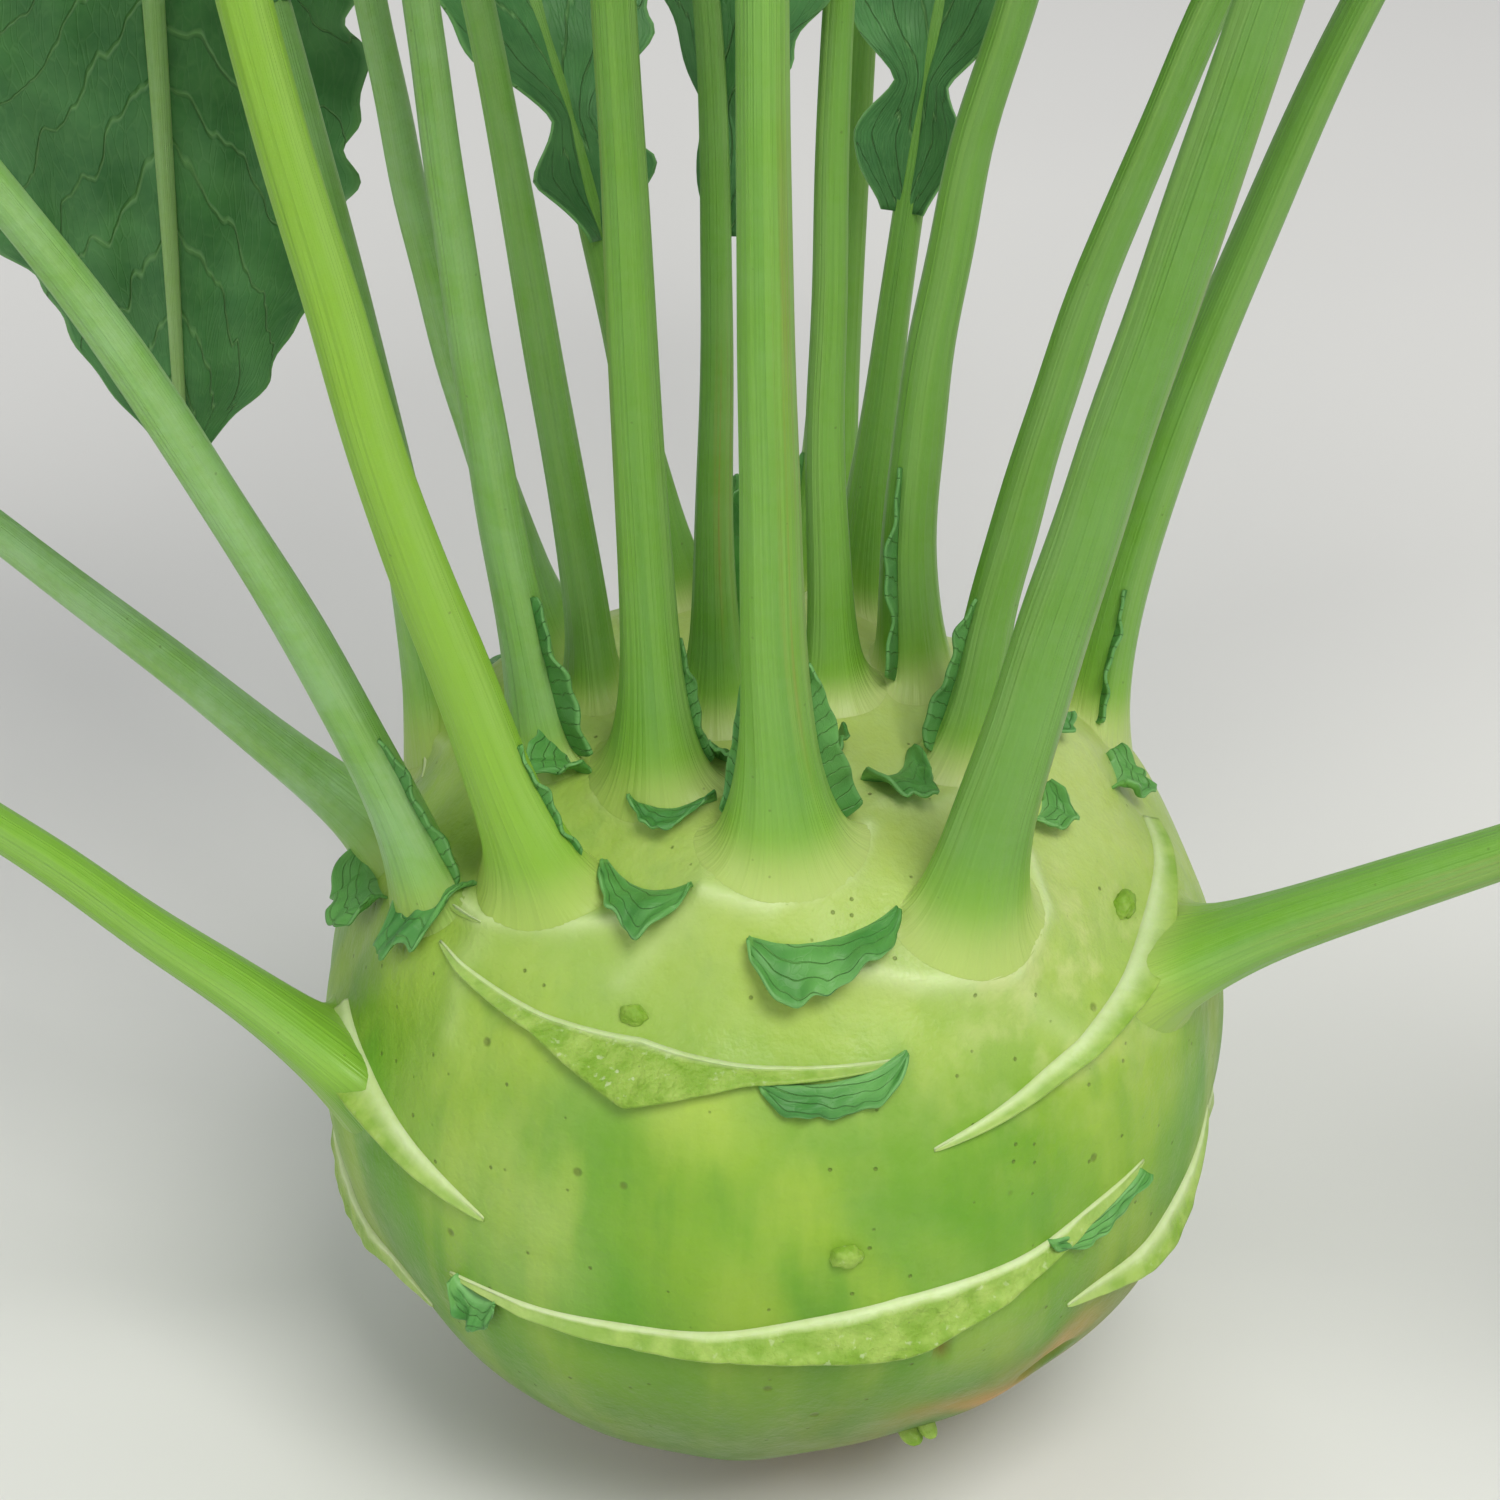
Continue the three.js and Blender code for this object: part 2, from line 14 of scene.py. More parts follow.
import bpy
import numpy as np
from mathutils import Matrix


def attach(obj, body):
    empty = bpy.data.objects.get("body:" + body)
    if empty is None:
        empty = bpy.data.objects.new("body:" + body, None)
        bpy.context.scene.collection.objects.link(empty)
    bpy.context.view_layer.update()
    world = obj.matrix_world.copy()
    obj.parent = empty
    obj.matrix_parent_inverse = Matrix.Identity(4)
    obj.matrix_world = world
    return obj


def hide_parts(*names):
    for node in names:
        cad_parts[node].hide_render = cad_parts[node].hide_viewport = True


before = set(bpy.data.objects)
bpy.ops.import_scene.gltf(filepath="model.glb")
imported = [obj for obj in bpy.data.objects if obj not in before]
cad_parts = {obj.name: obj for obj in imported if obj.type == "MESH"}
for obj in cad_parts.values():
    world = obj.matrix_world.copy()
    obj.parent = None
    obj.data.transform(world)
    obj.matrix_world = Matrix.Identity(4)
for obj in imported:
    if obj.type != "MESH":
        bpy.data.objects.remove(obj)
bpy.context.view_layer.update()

METRES = 0.001

log = logging.getLogger("kohlrabi")

Array = np.ndarray
Colour = tuple[int, int, int]


class Slot(Enum):
    """Material slots of the record."""

    SKIN = "bulb_skin"
    STALK = "leaf_stalk"
    BLADE = "leaf_blade"


# Numbers and meshes


def smoothstep(value: Array, low: float, high: float) -> Array:
    """Smooth rise from 0 to 1.

    Args:
        value: Numbers to map.
        low: Where the rise starts.
        high: Where the rise ends.

    Returns:
        t * t * (3 - 2 * t), with t the clamped share of the way from low to high.
    """
    share = np.clip((np.asarray(value, float) - low) / (high - low), 0.0, 1.0)
    return share * share * (3.0 - 2.0 * share)


def unit(vectors: Array) -> Array:
    """Returns the vectors divided by their own lengths."""
    return vectors / np.maximum(np.linalg.norm(vectors, axis=-1, keepdims=True), 1e-12)


def wrap_degrees(angle: Array) -> Array:
    """Returns angles brought into -180 to 180 degrees."""
    return (np.asarray(angle, float) + 180.0) % 360.0 - 180.0


def bell(distance: Array, half_width: float) -> Array:
    """Returns a bell curve: 1 at no distance, falling as exp(-(distance / half width) squared)."""
    return np.exp(-((distance / half_width) ** 2))


def sweep(line: Array, side: Array, inner: Array, x: Array, y: Array) -> Array:
    """Returns a grid: for each place on a line, points x to its side and y to its inner face."""
    return line[:, None] + side[:, None] * x[..., None] + inner[:, None] * y[..., None]


def around_z(turn: Array, radius: Array, height: Array) -> Array:
    """Returns points at a radius and a height, turned about +Z."""
    return np.stack(np.broadcast_arrays(radius * np.cos(turn), radius * np.sin(turn), height), axis=-1)


@dataclass(frozen=True)
class Ripples:
    """Smooth unevenness in space: a sum of sine waves in seeded directions.

    Attributes:
        seed: Seed of the directions and phases.
        wavelength: Mean wavelength in millimetres.
        waves: How many waves are summed.
    """

    seed: int
    wavelength: float
    waves: int = 14

    def at(self, points: Array) -> Array:
        """Value at each point.

        Args:
            points: Places in millimetres, shape (..., 3).

        Returns:
            Sum of sin(k . p + phase) over the waves, scaled to a spread of about 1.
        """
        draw = np.random.default_rng(self.seed)
        directions = unit(draw.normal(size=(self.waves, 3)))
        numbers = 2.0 * math.pi / (self.wavelength * draw.uniform(0.6, 1.6, self.waves))
        phases = draw.uniform(0.0, 2.0 * math.pi, self.waves)
        turns = points @ (directions * numbers[:, None]).T + phases
        return np.sin(turns).sum(axis=-1) * math.sqrt(2.0 / self.waves)


@dataclass
class Surface:
    """A mesh being put together.

    Attributes:
        points: Places in millimetres, in batches.
        quads: Four-sided faces as numbers of points.
        triangles: Three-sided faces as numbers of points.
        values: Named numbers carried at the points, in the same batches.
        plan: Flat coordinates of the points, in the same batches.
        count: How many points there are.
    """

    points: list[Array] = field(default_factory=list)
    quads: list[Array] = field(default_factory=list)
    triangles: list[Array] = field(default_factory=list)
    values: dict[str, list[Array]] = field(default_factory=dict)
    plan: list[Array] = field(default_factory=list)
    count: int = 0

    def _keep(self, flat: Array, values: dict[str, Array] | None, plan: Array | None) -> int:
        """Adds points with what they carry.

        Args:
            flat: Points, shape (n, 3).
            values: Named numbers at the points. A name that is missing stands for zeros.
            plan: Flat coordinates at the points, or None for zeros.

        Returns:
            Number of the first of these points.
        """
        first = self.count
        values = values or {}
        self.points.append(flat)
        self.count += len(flat)
        for name in set(self.values) | set(values):
            row = np.asarray(values[name], float).ravel() if name in values else np.zeros(len(flat))
            if name not in self.values:
                self.values[name] = [np.zeros(first)] if first else []
            self.values[name].append(row)
        self.plan.append(np.zeros((len(flat), 2)) if plan is None else np.asarray(plan, float).reshape(-1, 2))
        return first

    def add_grid(
        self,
        grid: Array,
        values: dict[str, Array] | None = None,
        plan: Array | None = None,
        closed: bool = False,
        capped: bool = False,
        flip: bool = False,
    ) -> None:
        """Adds a grid of points, rows by columns, joined by four-sided faces.

        Args:
            grid: Points, shape (rows, columns, 3).
            values: Named numbers at the points, shape (rows, columns).
            plan: Flat coordinates at the points, shape (rows, columns, 2).
            closed: True if the last column joins the first.
            capped: True if a fan closes the first and last rows.
            flip: True to turn the faces over.
        """
        rows, columns = grid.shape[:2]
        values = values or {}
        first = self._keep(grid.reshape(-1, 3), values, plan)
        r, c = np.meshgrid(np.arange(rows - 1), np.arange(columns if closed else columns - 1), indexing="ij")
        a = r * columns + c
        b = r * columns + (c + 1) % columns
        quads = np.stack([a, b, b + columns, a + columns], axis=-1).reshape(-1, 4) + first
        self.quads.append(quads[:, ::-1] if flip else quads)
        if not capped:
            return
        for row, turned in ((0, not flip), (rows - 1, flip)):
            ring = first + row * columns + np.arange(columns)
            spot = {key: np.full(1, v.reshape(rows, columns)[row].mean()) for key, v in values.items()}
            flat = None if plan is None else plan.reshape(rows, columns, 2)[row].mean(axis=0)[None]
            middle = self._keep(grid[row].mean(axis=0)[None], spot, flat)
            fan = np.stack([np.full(columns, middle), ring, np.roll(ring, -1)], axis=-1)
            self.triangles.append(fan[:, ::-1] if turned else fan)

    def build(self, name: str, finish: "Finish", thickness: float = 0.0) -> bpy.types.Object:
        """Makes the Blender mesh.

        Args:
            name: Name of the piece.
            finish: Material that dresses it.
            thickness: Wall in millimetres for an open sheet, or 0 for a closed skin.

        Returns:
            The object, at the origin, with its place in its mesh.
        """
        points = np.concatenate(self.points) * METRES
        quads = np.concatenate(self.quads) if self.quads else np.zeros((0, 4), int)
        fans = np.concatenate(self.triangles) if self.triangles else np.zeros((0, 3), int)
        corners = np.concatenate([quads.ravel(), fans.ravel()]).astype(np.int32)
        totals = np.concatenate([np.full(len(quads), 4), np.full(len(fans), 3)]).astype(np.int32)
        mesh = bpy.data.meshes.new(name)
        mesh.vertices.add(len(points))
        mesh.vertices.foreach_set("co", points.astype(np.float32).ravel())
        mesh.loops.add(len(corners))
        mesh.loops.foreach_set("vertex_index", corners)
        mesh.polygons.add(len(totals))
        mesh.polygons.foreach_set("loop_start", (np.cumsum(totals) - totals).astype(np.int32))
        mesh.polygons.foreach_set("loop_total", totals)
        mesh.polygons.foreach_set("use_smooth", np.ones(len(totals), bool))
        mesh.update(calc_edges=True)
        for key, rows in self.values.items():
            layer = mesh.attributes.new(key, "FLOAT", "POINT")
            layer.data.foreach_set("value", np.concatenate(rows).astype(np.float32))
        sheet = mesh.uv_layers.new(name="plan")
        sheet.data.foreach_set("uv", np.concatenate(self.plan)[corners].astype(np.float32).ravel())
        mesh.materials.append(finish.material())
        piece = bpy.data.objects.new(name, mesh)
        bpy.context.scene.collection.objects.link(piece)
        if thickness:
            wall = piece.modifiers.new("wall", "SOLIDIFY")
            wall.thickness = thickness * METRES
            wall.offset = 0.0
        return piece


def dress(piece: bpy.types.Object, slot: Slot, *nodes: str) -> bpy.types.Object:
    """Rides a piece on the part's one body and says what it stands for.

    Args:
        piece: The finished piece.
        slot: Material slot of the record. Not used.
        nodes: CAD nodes that it replaces.

    Returns:
        The same piece.
    """
    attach(piece, "root")
    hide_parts(*nodes)
    log.info("%s: %d faces, for %s", piece.name, len(piece.data.polygons), ", ".join(nodes))
    return piece


# Shader building


def linear(red: int, green: int, blue: int) -> tuple[float, float, float, float]:
    """Returns a colour of 0 to 255 display values as the linear colour that shaders take."""
    shares = (value / 255.0 for value in (red, green, blue))
    return tuple(s / 12.92 if s <= 0.04045 else ((s + 0.055) / 1.055) ** 2.4 for s in shares) + (1.0,)


Socket = bpy.types.NodeSocket
Source = Socket | float | tuple


class Nodes:
    """Short calls for building a node tree."""

    def __init__(self, tree: bpy.types.NodeTree) -> None:
        """Keeps the tree that nodes are added to."""
        self.tree = tree

    def _feed(self, socket: Socket, source: Source) -> None:
        """Links a socket, or sets its value, into another socket."""
        if isinstance(source, bpy.types.NodeSocket):
            self.tree.links.new(source, socket)
        else:
            socket.default_value = source

    def node(
        self, kind: str, inputs: dict[str | int, Source] | None = None, **settings: object
    ) -> bpy.types.Node:
        """Adds a node.

        Args:
            kind: Blender's name for the node type.
            inputs: Sources for its inputs, by name or number.
            settings: Properties to set on it.

        Returns:
            The node.
        """
        made = self.tree.nodes.new(kind)
        for key, value in settings.items():
            setattr(made, key, value)
        for key, source in (inputs or {}).items():
            self._feed(made.inputs[key], source)
        return made

    def math(self, operation: str, a: Source, b: Source = 0.0, clamp: bool = False) -> Socket:
        """Returns the result of a Math node."""
        return self.node("ShaderNodeMath", {0: a, 1: b}, operation=operation, use_clamp=clamp).outputs[0]

    def times(self, a: Source, b: Source) -> Socket:
        """Returns a product."""
        return self.math("MULTIPLY", a, b)

    def mix(self, share: Source, a: Source, b: Source) -> Socket:
        """Returns two colours mixed by a share. The node's colours are inputs 6 and 7, and output 2."""
        given = {0: share, 6: a, 7: b}
        return self.node("ShaderNodeMix", given, data_type="RGBA", clamp_factor=True).outputs[2]

    def tint(self, colour: Source, share: Source, target: Colour) -> Socket:
        """Returns a colour moved by a share towards a display colour."""
        return self.mix(share, colour, linear(*target))

    def span(self, value: Source, low: float, high: float, start: float = 0.0, end: float = 1.0) -> Socket:
        """Returns a value carried smoothly from low..high to start..end."""
        made = self.node(
            "ShaderNodeMapRange",
            {"Value": value, "From Min": low, "From Max": high, "To Min": start, "To Max": end},
            interpolation_type="SMOOTHSTEP",
        )
        return made.outputs["Result"]

    def value_of(self, name: str) -> Socket:
        """Returns the number that the mesh carries under a name."""
        return self.node("ShaderNodeAttribute", attribute_name=name).outputs["Fac"]

    def noise(self, place: Socket, scale: float, detail: float = 4.0, stretch: tuple | None = None) -> Socket:
        """Noise over the surface.

        Args:
            place: Coordinates.
            scale: Spots to a metre of the coordinates.
            detail: Octaves.
            stretch: Scale of each axis, or None.

        Returns:
            Noise from 0 to 1.
        """
        if stretch is not None:
            place = self.node("ShaderNodeMapping", {"Vector": place, "Scale": stretch}).outputs[0]
        noise = self.node("ShaderNodeTexNoise", {"Vector": place, "Scale": scale, "Detail": detail})
        return noise.outputs["Fac"]

    def group(self, tree: bpy.types.NodeTree, inputs: dict[str, Source]) -> bpy.types.Node:
        """Places a group.

        Args:
            tree: The group's tree.
            inputs: Sources for its inputs, by name.

        Returns:
            The node that holds the group.
        """
        made = self.node("ShaderNodeGroup", node_tree=tree)
        for key, source in inputs.items():
            self._feed(made.inputs[key], source)
        return made

    def link(self, source: Socket, shader: bpy.types.Node, name: str) -> None:
        """Links a source into the shader's socket of that name."""
        self.tree.links.new(source, shader.inputs[name])

    @property
    def place(self) -> Socket:
        """Returns the Object coordinates."""
        return self.node("ShaderNodeTexCoord").outputs["Object"]

    @property
    def plan(self) -> Socket:
        """Returns the piece's own flat coordinates."""
        return self.node("ShaderNodeUVMap", uv_map="plan").outputs[0]


def new_group(name: str, inputs: dict[str, str], outputs: dict[str, str]) -> tuple[Nodes, dict, dict]:
    """Starts a shader node group with named sockets.

    Args:
        name: Name of the group.
        inputs: Socket type of each input.
        outputs: Socket type of each output.

    Returns:
        The builder of its tree, its inputs as sockets, and the sockets that its outputs end in.
    """
    tree = bpy.data.node_groups.new(name, "ShaderNodeTree")
    for key, kind in inputs.items():
        tree.interface.new_socket(name=key, in_out="INPUT", socket_type=kind)
    for key, kind in outputs.items():
        tree.interface.new_socket(name=key, in_out="OUTPUT", socket_type=kind)
    start = tree.nodes.new("NodeGroupInput")
    end = tree.nodes.new("NodeGroupOutput")
    return Nodes(tree), {k: start.outputs[k] for k in inputs}, {k: end.inputs[k] for k in outputs}


FLOAT, COLOUR, VECTOR = "NodeSocketFloat", "NodeSocketColor", "NodeSocketVector"


class Effects:
    """Shader groups that more than one finish uses, each built once."""

    VEIN_LEAN = 0.3
    _made: dict[str, bpy.types.NodeTree] = {}

    @classmethod
    def _once(cls, name: str, build: Callable[[str], bpy.types.NodeTree]) -> bpy.types.NodeTree:
        """Returns the group of that name, built on its first use."""
        if name not in cls._made:
            cls._made[name] = build(name)
        return cls._made[name]

    @classmethod
    def bloom(cls, n: Nodes, colour: Source, wax: Colour, amount: Source) -> Socket:
        """A colour under a waxy bloom: whitish patches broken up by noise.

        Args:
            n: Builder of the tree that it goes into.
            colour: Colour without the bloom.
            wax: Display colour of the bloom.
            amount: How much of it there is, from 0 to 1.

        Returns:
            The colour with the bloom.
        """
        group = cls._once("waxy_bloom", cls._bloom)
        inputs = {"Place": n.place, "Colour": colour, "Wax": linear(*wax), "Amount": amount}
        return n.group(group, inputs).outputs["Colour"]

    @staticmethod
    def _bloom(name: str) -> bpy.types.NodeTree:
        """Builds the waxy bloom group.

        Args:
            name: Name of the group.

        Returns:
            Its tree.
        """
        inputs = {"Place": VECTOR, "Colour": COLOUR, "Wax": COLOUR, "Amount": FLOAT}
        n, given, out = new_group(name, inputs, {"Colour": COLOUR})
        broad = n.noise(given["Place"], scale=60.0, detail=5.0)
        fine = n.noise(given["Place"], scale=420.0, detail=3.0)
        broken = n.math("ADD", n.times(broad, 0.75), n.times(fine, 0.35))
        mask = n.math("MULTIPLY", given["Amount"], n.span(broken, 0.3, 0.72, 0.35, 1.0), clamp=True)
        n.tree.links.new(n.mix(mask, given["Colour"], given["Wax"]), out["Colour"])
        return n.tree

    @classmethod
    def specks(cls, n: Nodes, scale: float, share: float) -> Socket:
        """Returns a mask of specks: small dots at the middles of a share of the cells."""
        group = cls._once("dark_specks", cls._specks)
        return n.group(group, {"Place": n.place, "Scale": scale, "Share": share}).outputs["Mask"]

    @staticmethod
    def _specks(name: str) -> bpy.types.NodeTree:
        """Builds the specks group.

        Args:
            name: Name of the group.

        Returns:
            Its tree.
        """
        n, given, out = new_group(name, {"Place": VECTOR, "Scale": FLOAT, "Share": FLOAT}, {"Mask": FLOAT})
        cells = n.node("ShaderNodeTexVoronoi", {"Vector": given["Place"], "Scale": given["Scale"]})
        dot = n.span(cells.outputs["Distance"], 0.05, 0.13, 1.0, 0.0)
        draw = n.node("ShaderNodeSeparateColor", {"Color": cells.outputs["Color"]}).outputs[0]
        chosen = n.math("LESS_THAN", draw, given["Share"])
        n.tree.links.new(n.times(dot, chosen), out["Mask"])
        return n.tree

    @classmethod
    def veins(cls, n: Nodes, count: float, net: float) -> tuple[Socket, Socket]:
        """Veins of a leaf, on flat coordinates: across -1 to 1 by along 0 to 1.

        Args:
            n: Builder of the tree that they go into.
            count: Side veins to a unit of length.
            net: Cells of the net to a unit.

        Returns:
            Masks of the ribs and of the net.
        """
        group = cls._once("leaf_veins", cls._veins)
        made = n.group(group, {"Plan": n.plan, "Count": count, "Lean": cls.VEIN_LEAN, "Net": net})
        return made.outputs["Ribs"], made.outputs["Net"]

    @staticmethod
    def _veins(name: str) -> bpy.types.NodeTree:
        """Builds the leaf vein group.

        Side veins lie where the fraction of count * (along - lean * |across| ** 0.85) is a half, and
        are thinner towards the edge. The net is the edges of cells. Noise warps both.

        Args:
            name: Name of the group.

        Returns:
            Its tree.
        """
        inputs = {"Plan": VECTOR, "Count": FLOAT, "Lean": FLOAT, "Net": FLOAT}
        n, given, out = new_group(name, inputs, {"Ribs": FLOAT, "Net": FLOAT})
        wobble = n.node("ShaderNodeTexNoise", {"Vector": given["Plan"], "Scale": 5.0, "Detail": 2.0})
        centred = {0: wobble.outputs["Color"], 1: (0.5, 0.5, 0.5)}
        shift = n.node("ShaderNodeVectorMath", centred, operation="SUBTRACT")
        small = n.node("ShaderNodeVectorMath", {0: shift.outputs[0], "Scale": 0.11}, operation="SCALE")
        moved = n.node("ShaderNodeVectorMath", {0: given["Plan"], 1: small.outputs[0]}, operation="ADD")
        parts = n.node("ShaderNodeSeparateXYZ", {0: moved.outputs[0]})
        across = n.math("ABSOLUTE", parts.outputs[0])
        leaning = n.times(n.math("POWER", across, 0.85), given["Lean"])
        phase = n.times(n.math("SUBTRACT", parts.outputs[1], leaning), given["Count"])
        from_line = n.math("ABSOLUTE", n.math("SUBTRACT", n.math("FRACT", phase), 0.5))
        width = n.span(across, 0.0, 1.0, 0.075, 0.02)
        side = n.math("SUBTRACT", 1.0, n.math("DIVIDE", from_line, width), clamp=True)
        middle = n.span(across, 0.02, 0.06, 1.0, 0.0)
        n.tree.links.new(n.math("MAXIMUM", side, middle), out["Ribs"])
        net = {"Vector": moved.outputs[0], "Scale": given["Net"]}
        cells = n.node("ShaderNodeTexVoronoi", net, feature="DISTANCE_TO_EDGE")
        n.tree.links.new(n.span(cells.outputs["Distance"], 0.0, 0.09, 1.0, 0.0), out["Net"])
        return n.tree


@dataclass(frozen=True)
class Finish:
    """A material: its name and the settings of its shader that are the same all over.

    Attributes:
        name: Name of the material.
        roughness: Roughness of its shader.
        coat: Weight of the clear coat.
        subsurface: Weight of the light that goes through.
        depth: How deep that light goes, in metres.
        gloss: Level of the shine.
        relief: What a height of 1 stands for, in metres.
    """

    name: str
    roughness: float = 0.45
    coat: float = 0.0
    subsurface: float = 0.0
    depth: float = 0.004
    gloss: float = 0.35
    relief: float = 0.0

    COAT_ROUGHNESS = 0.35
    SUBSURFACE_REACH = (0.6, 1.0, 0.25)

    def material(self) -> bpy.types.Material:
        """The material, made on its first use.

        Returns:
            The material with its shader set and painted.
        """
        found = bpy.data.materials.get(self.name)
        if found is not None:
            return found
        made = bpy.data.materials.new(self.name)
        made.use_nodes = True
        shader = made.node_tree.nodes["Principled BSDF"]
        settings = {
            "Roughness": self.roughness, "Coat Weight": self.coat, "Coat Roughness": self.COAT_ROUGHNESS,
            "Specular IOR Level": self.gloss, "Subsurface Weight": self.subsurface,
            "Subsurface Radius": self.SUBSURFACE_REACH, "Subsurface Scale": self.depth,
        }
        for socket, value in settings.items():
            shader.inputs[socket].default_value = value
        self.paint(Nodes(made.node_tree), shader)
        return made

    def paint(self, n: Nodes, shader: bpy.types.Node) -> None:
        """Links what changes over the surface. Plain finishes change nothing."""

    def emboss(self, n: Nodes, shader: bpy.types.Node, height: Socket) -> None:
        """Feeds a height from 0 to 1 into the shader's normal."""
        bump = n.node("ShaderNodeBump", {"Height": height, "Distance": self.relief, "Strength": 1.0})
        n.link(bump.outputs[0], shader, "Normal")


@dataclass(frozen=True)
class SkinFinish(Finish):
    """Waxy bulb skin: green patches, a cream crown, faint meridian streaks, specks and blotches, and painted
    light: highlight and sunlight on the upper right, shade on the left and low down.

    Scales of noise are spots to a metre. The names that value_of takes are masks carried by the mesh.
    """

    relief: float = 0.0014
    fresh: Colour = (148, 184, 50)
    green: Colour = (98, 158, 28)
    light_streak: Colour = (162, 192, 70)
    dark_streak: Colour = (90, 150, 30)
    # Colour of the cream crown and of the painted highlight on the bulb's upper right side.
    creamy: Colour = (186, 206, 104)
    # Colour of the painted sunlight on the upper right side of the bulb.
    yellow: Colour = (182, 206, 56)
    shaded: Colour = (74, 108, 18)
    rusty: Colour = (186, 134, 40)
    white: Colour = (214, 232, 170)
    wax: Colour = (206, 226, 165)
    speck: Colour = (96, 108, 40)
    scuffed: Colour = (214, 222, 150)

    def paint(self, n: Nodes, shader: bpy.types.Node) -> None:
        """Links the bulb's colours, gloss and relief.

        Args:
            n: Builder of the material's tree.
            shader: The material's shader.
        """
        specks = n.math("MAXIMUM", Effects.specks(n, 210.0, 0.3), Effects.specks(n, 90.0, 0.16))
        # The bloom follows the cream mask, so it also carries the painted highlight on the upper right side.
        amount = n.math("ADD", n.times(n.value_of("cream"), 0.32), 0.06)
        colour = Effects.bloom(n, self.flesh(n), self.wax, amount)
        colour = n.tint(colour, n.times(specks, 0.6), self.speck)
        blotch = n.span(n.noise(n.place, scale=75.0, detail=6.0), 0.46, 0.66, 0.0, 0.6)
        n.link(n.tint(colour, n.times(blotch, n.value_of("scuff")), self.scuffed), shader, "Base Color")
        swell = n.noise(n.place, scale=70.0, detail=4.0)
        grain = n.times(n.noise(n.place, scale=260.0, detail=4.0), 0.25)
        pore = n.times(n.noise(n.place, scale=900.0, detail=2.0), 0.12)
        height = n.math("ADD", n.math("ADD", swell, pore), grain)
        self.emboss(n, shader, n.math("SUBTRACT", height, n.times(specks, 0.25)))
        n.link(n.span(swell, 0.3, 0.7, 0.36, 0.52), shader, "Roughness")

    def flesh(self, n: Nodes) -> Socket:
        """The skin's colour before its bloom and specks, from patches to white crests, with painted light and
        painted shade.

        Args:
            n: Builder of the material's tree.

        Returns:
            The colour.
        """
        along = (1.0, 1.0, 0.12)
        broad = n.span(n.noise(n.place, scale=13.0, detail=3.0, stretch=(1.0, 1.0, 0.55)), 0.35, 0.7)
        # Deep green patches, with painted shade heavier on the left side of the bulb.
        patch = n.math("ADD", n.times(n.value_of("deep"), 1.1), n.times(broad, 0.55))
        colour = n.mix(patch, linear(*self.fresh), linear(*self.green))
        streak = n.noise(n.place, scale=40.0, detail=5.0, stretch=along)
        colour = n.tint(colour, n.span(streak, 0.46, 0.64, 0.0, 0.55), self.light_streak)
        vein = n.noise(n.place, scale=85.0, detail=4.0, stretch=(1.0, 1.0, 0.07))
        colour = n.tint(colour, n.span(vein, 0.5, 0.7, 0.0, 0.5), self.dark_streak)
        # Cream crown tint, with a painted highlight: much stronger on the upper right side than the left.
        colour = n.tint(colour, n.value_of("cream"), self.creamy)
        # Painted sunlight: patchy yellow over the upper part of the bulb, strongest on its right side.
        sunlit = n.span(n.noise(n.place, scale=22.0, detail=4.0), 0.45, 0.7, 0.0, 0.55)
        colour = n.tint(colour, n.times(sunlit, n.value_of("sunny")), self.yellow)
        # Painted shade: darker towards the bottom of the bulb and inside the notches.
        colour = n.tint(colour, n.value_of("shade"), self.shaded)
        rust = n.span(n.noise(n.place, scale=48.0, detail=5.0), 0.3, 0.62, 0.35, 1.0)
        colour = n.tint(colour, n.times(n.value_of("warm"), rust), self.rusty)
        return n.tint(colour, n.value_of("pale"), self.white)


@dataclass(frozen=True)
class LipFinish(Finish):
    """Leaf scars: smooth whitish wax above, rough greenish flesh below, and painted shade as a dark line in
    the groove above each scar and under its lower edge.
    """

    relief: float = 0.0022
    flesh: Colour = (132, 172, 54)
    light_flesh: Colour = (164, 194, 90)
    smooth: Colour = (184, 208, 122)
    wax: Colour = (212, 230, 178)
    crust: Colour = (232, 240, 208)
    pit: Colour = (122, 140, 70)
    # Colour of the painted shade in the groove above a scar and under its lower edge.
    brown: Colour = (132, 140, 62)

    def paint(self, n: Nodes, shader: bpy.types.Node) -> None:
        """Links the scars' colours, gloss and rough relief.

        Args:
            n: Builder of the material's tree.
            shader: The material's shader.
        """
        wax, rough = n.value_of("wax"), n.value_of("rough")
        mottle = n.span(n.noise(n.place, scale=160.0, detail=5.0), 0.35, 0.68)
        colour = n.mix(mottle, linear(*self.flesh), linear(*self.light_flesh))
        colour = n.tint(colour, wax, self.smooth)
        colour = Effects.bloom(n, colour, self.wax, n.times(wax, n.math("SUBTRACT", 0.9, rough)))
        crust = n.span(n.noise(n.place, scale=420.0, detail=4.0), 0.62, 0.72)
        colour = n.tint(colour, n.times(crust, n.times(rough, 0.45)), self.crust)
        colour = n.tint(colour, n.times(Effects.specks(n, 330.0, 0.3), rough), self.pit)
        # Painted shade: a dark olive line in the groove above the scar and under its lower edge.
        n.link(n.tint(colour, n.value_of("brown"), self.brown), shader, "Base Color")
        grain = n.noise(n.place, scale=330.0, detail=5.0)
        self.emboss(n, shader, n.times(grain, n.math("ADD", rough, 0.12)))
        n.link(n.span(rough, 0.0, 1.0, 0.42, 0.62), shader, "Roughness")


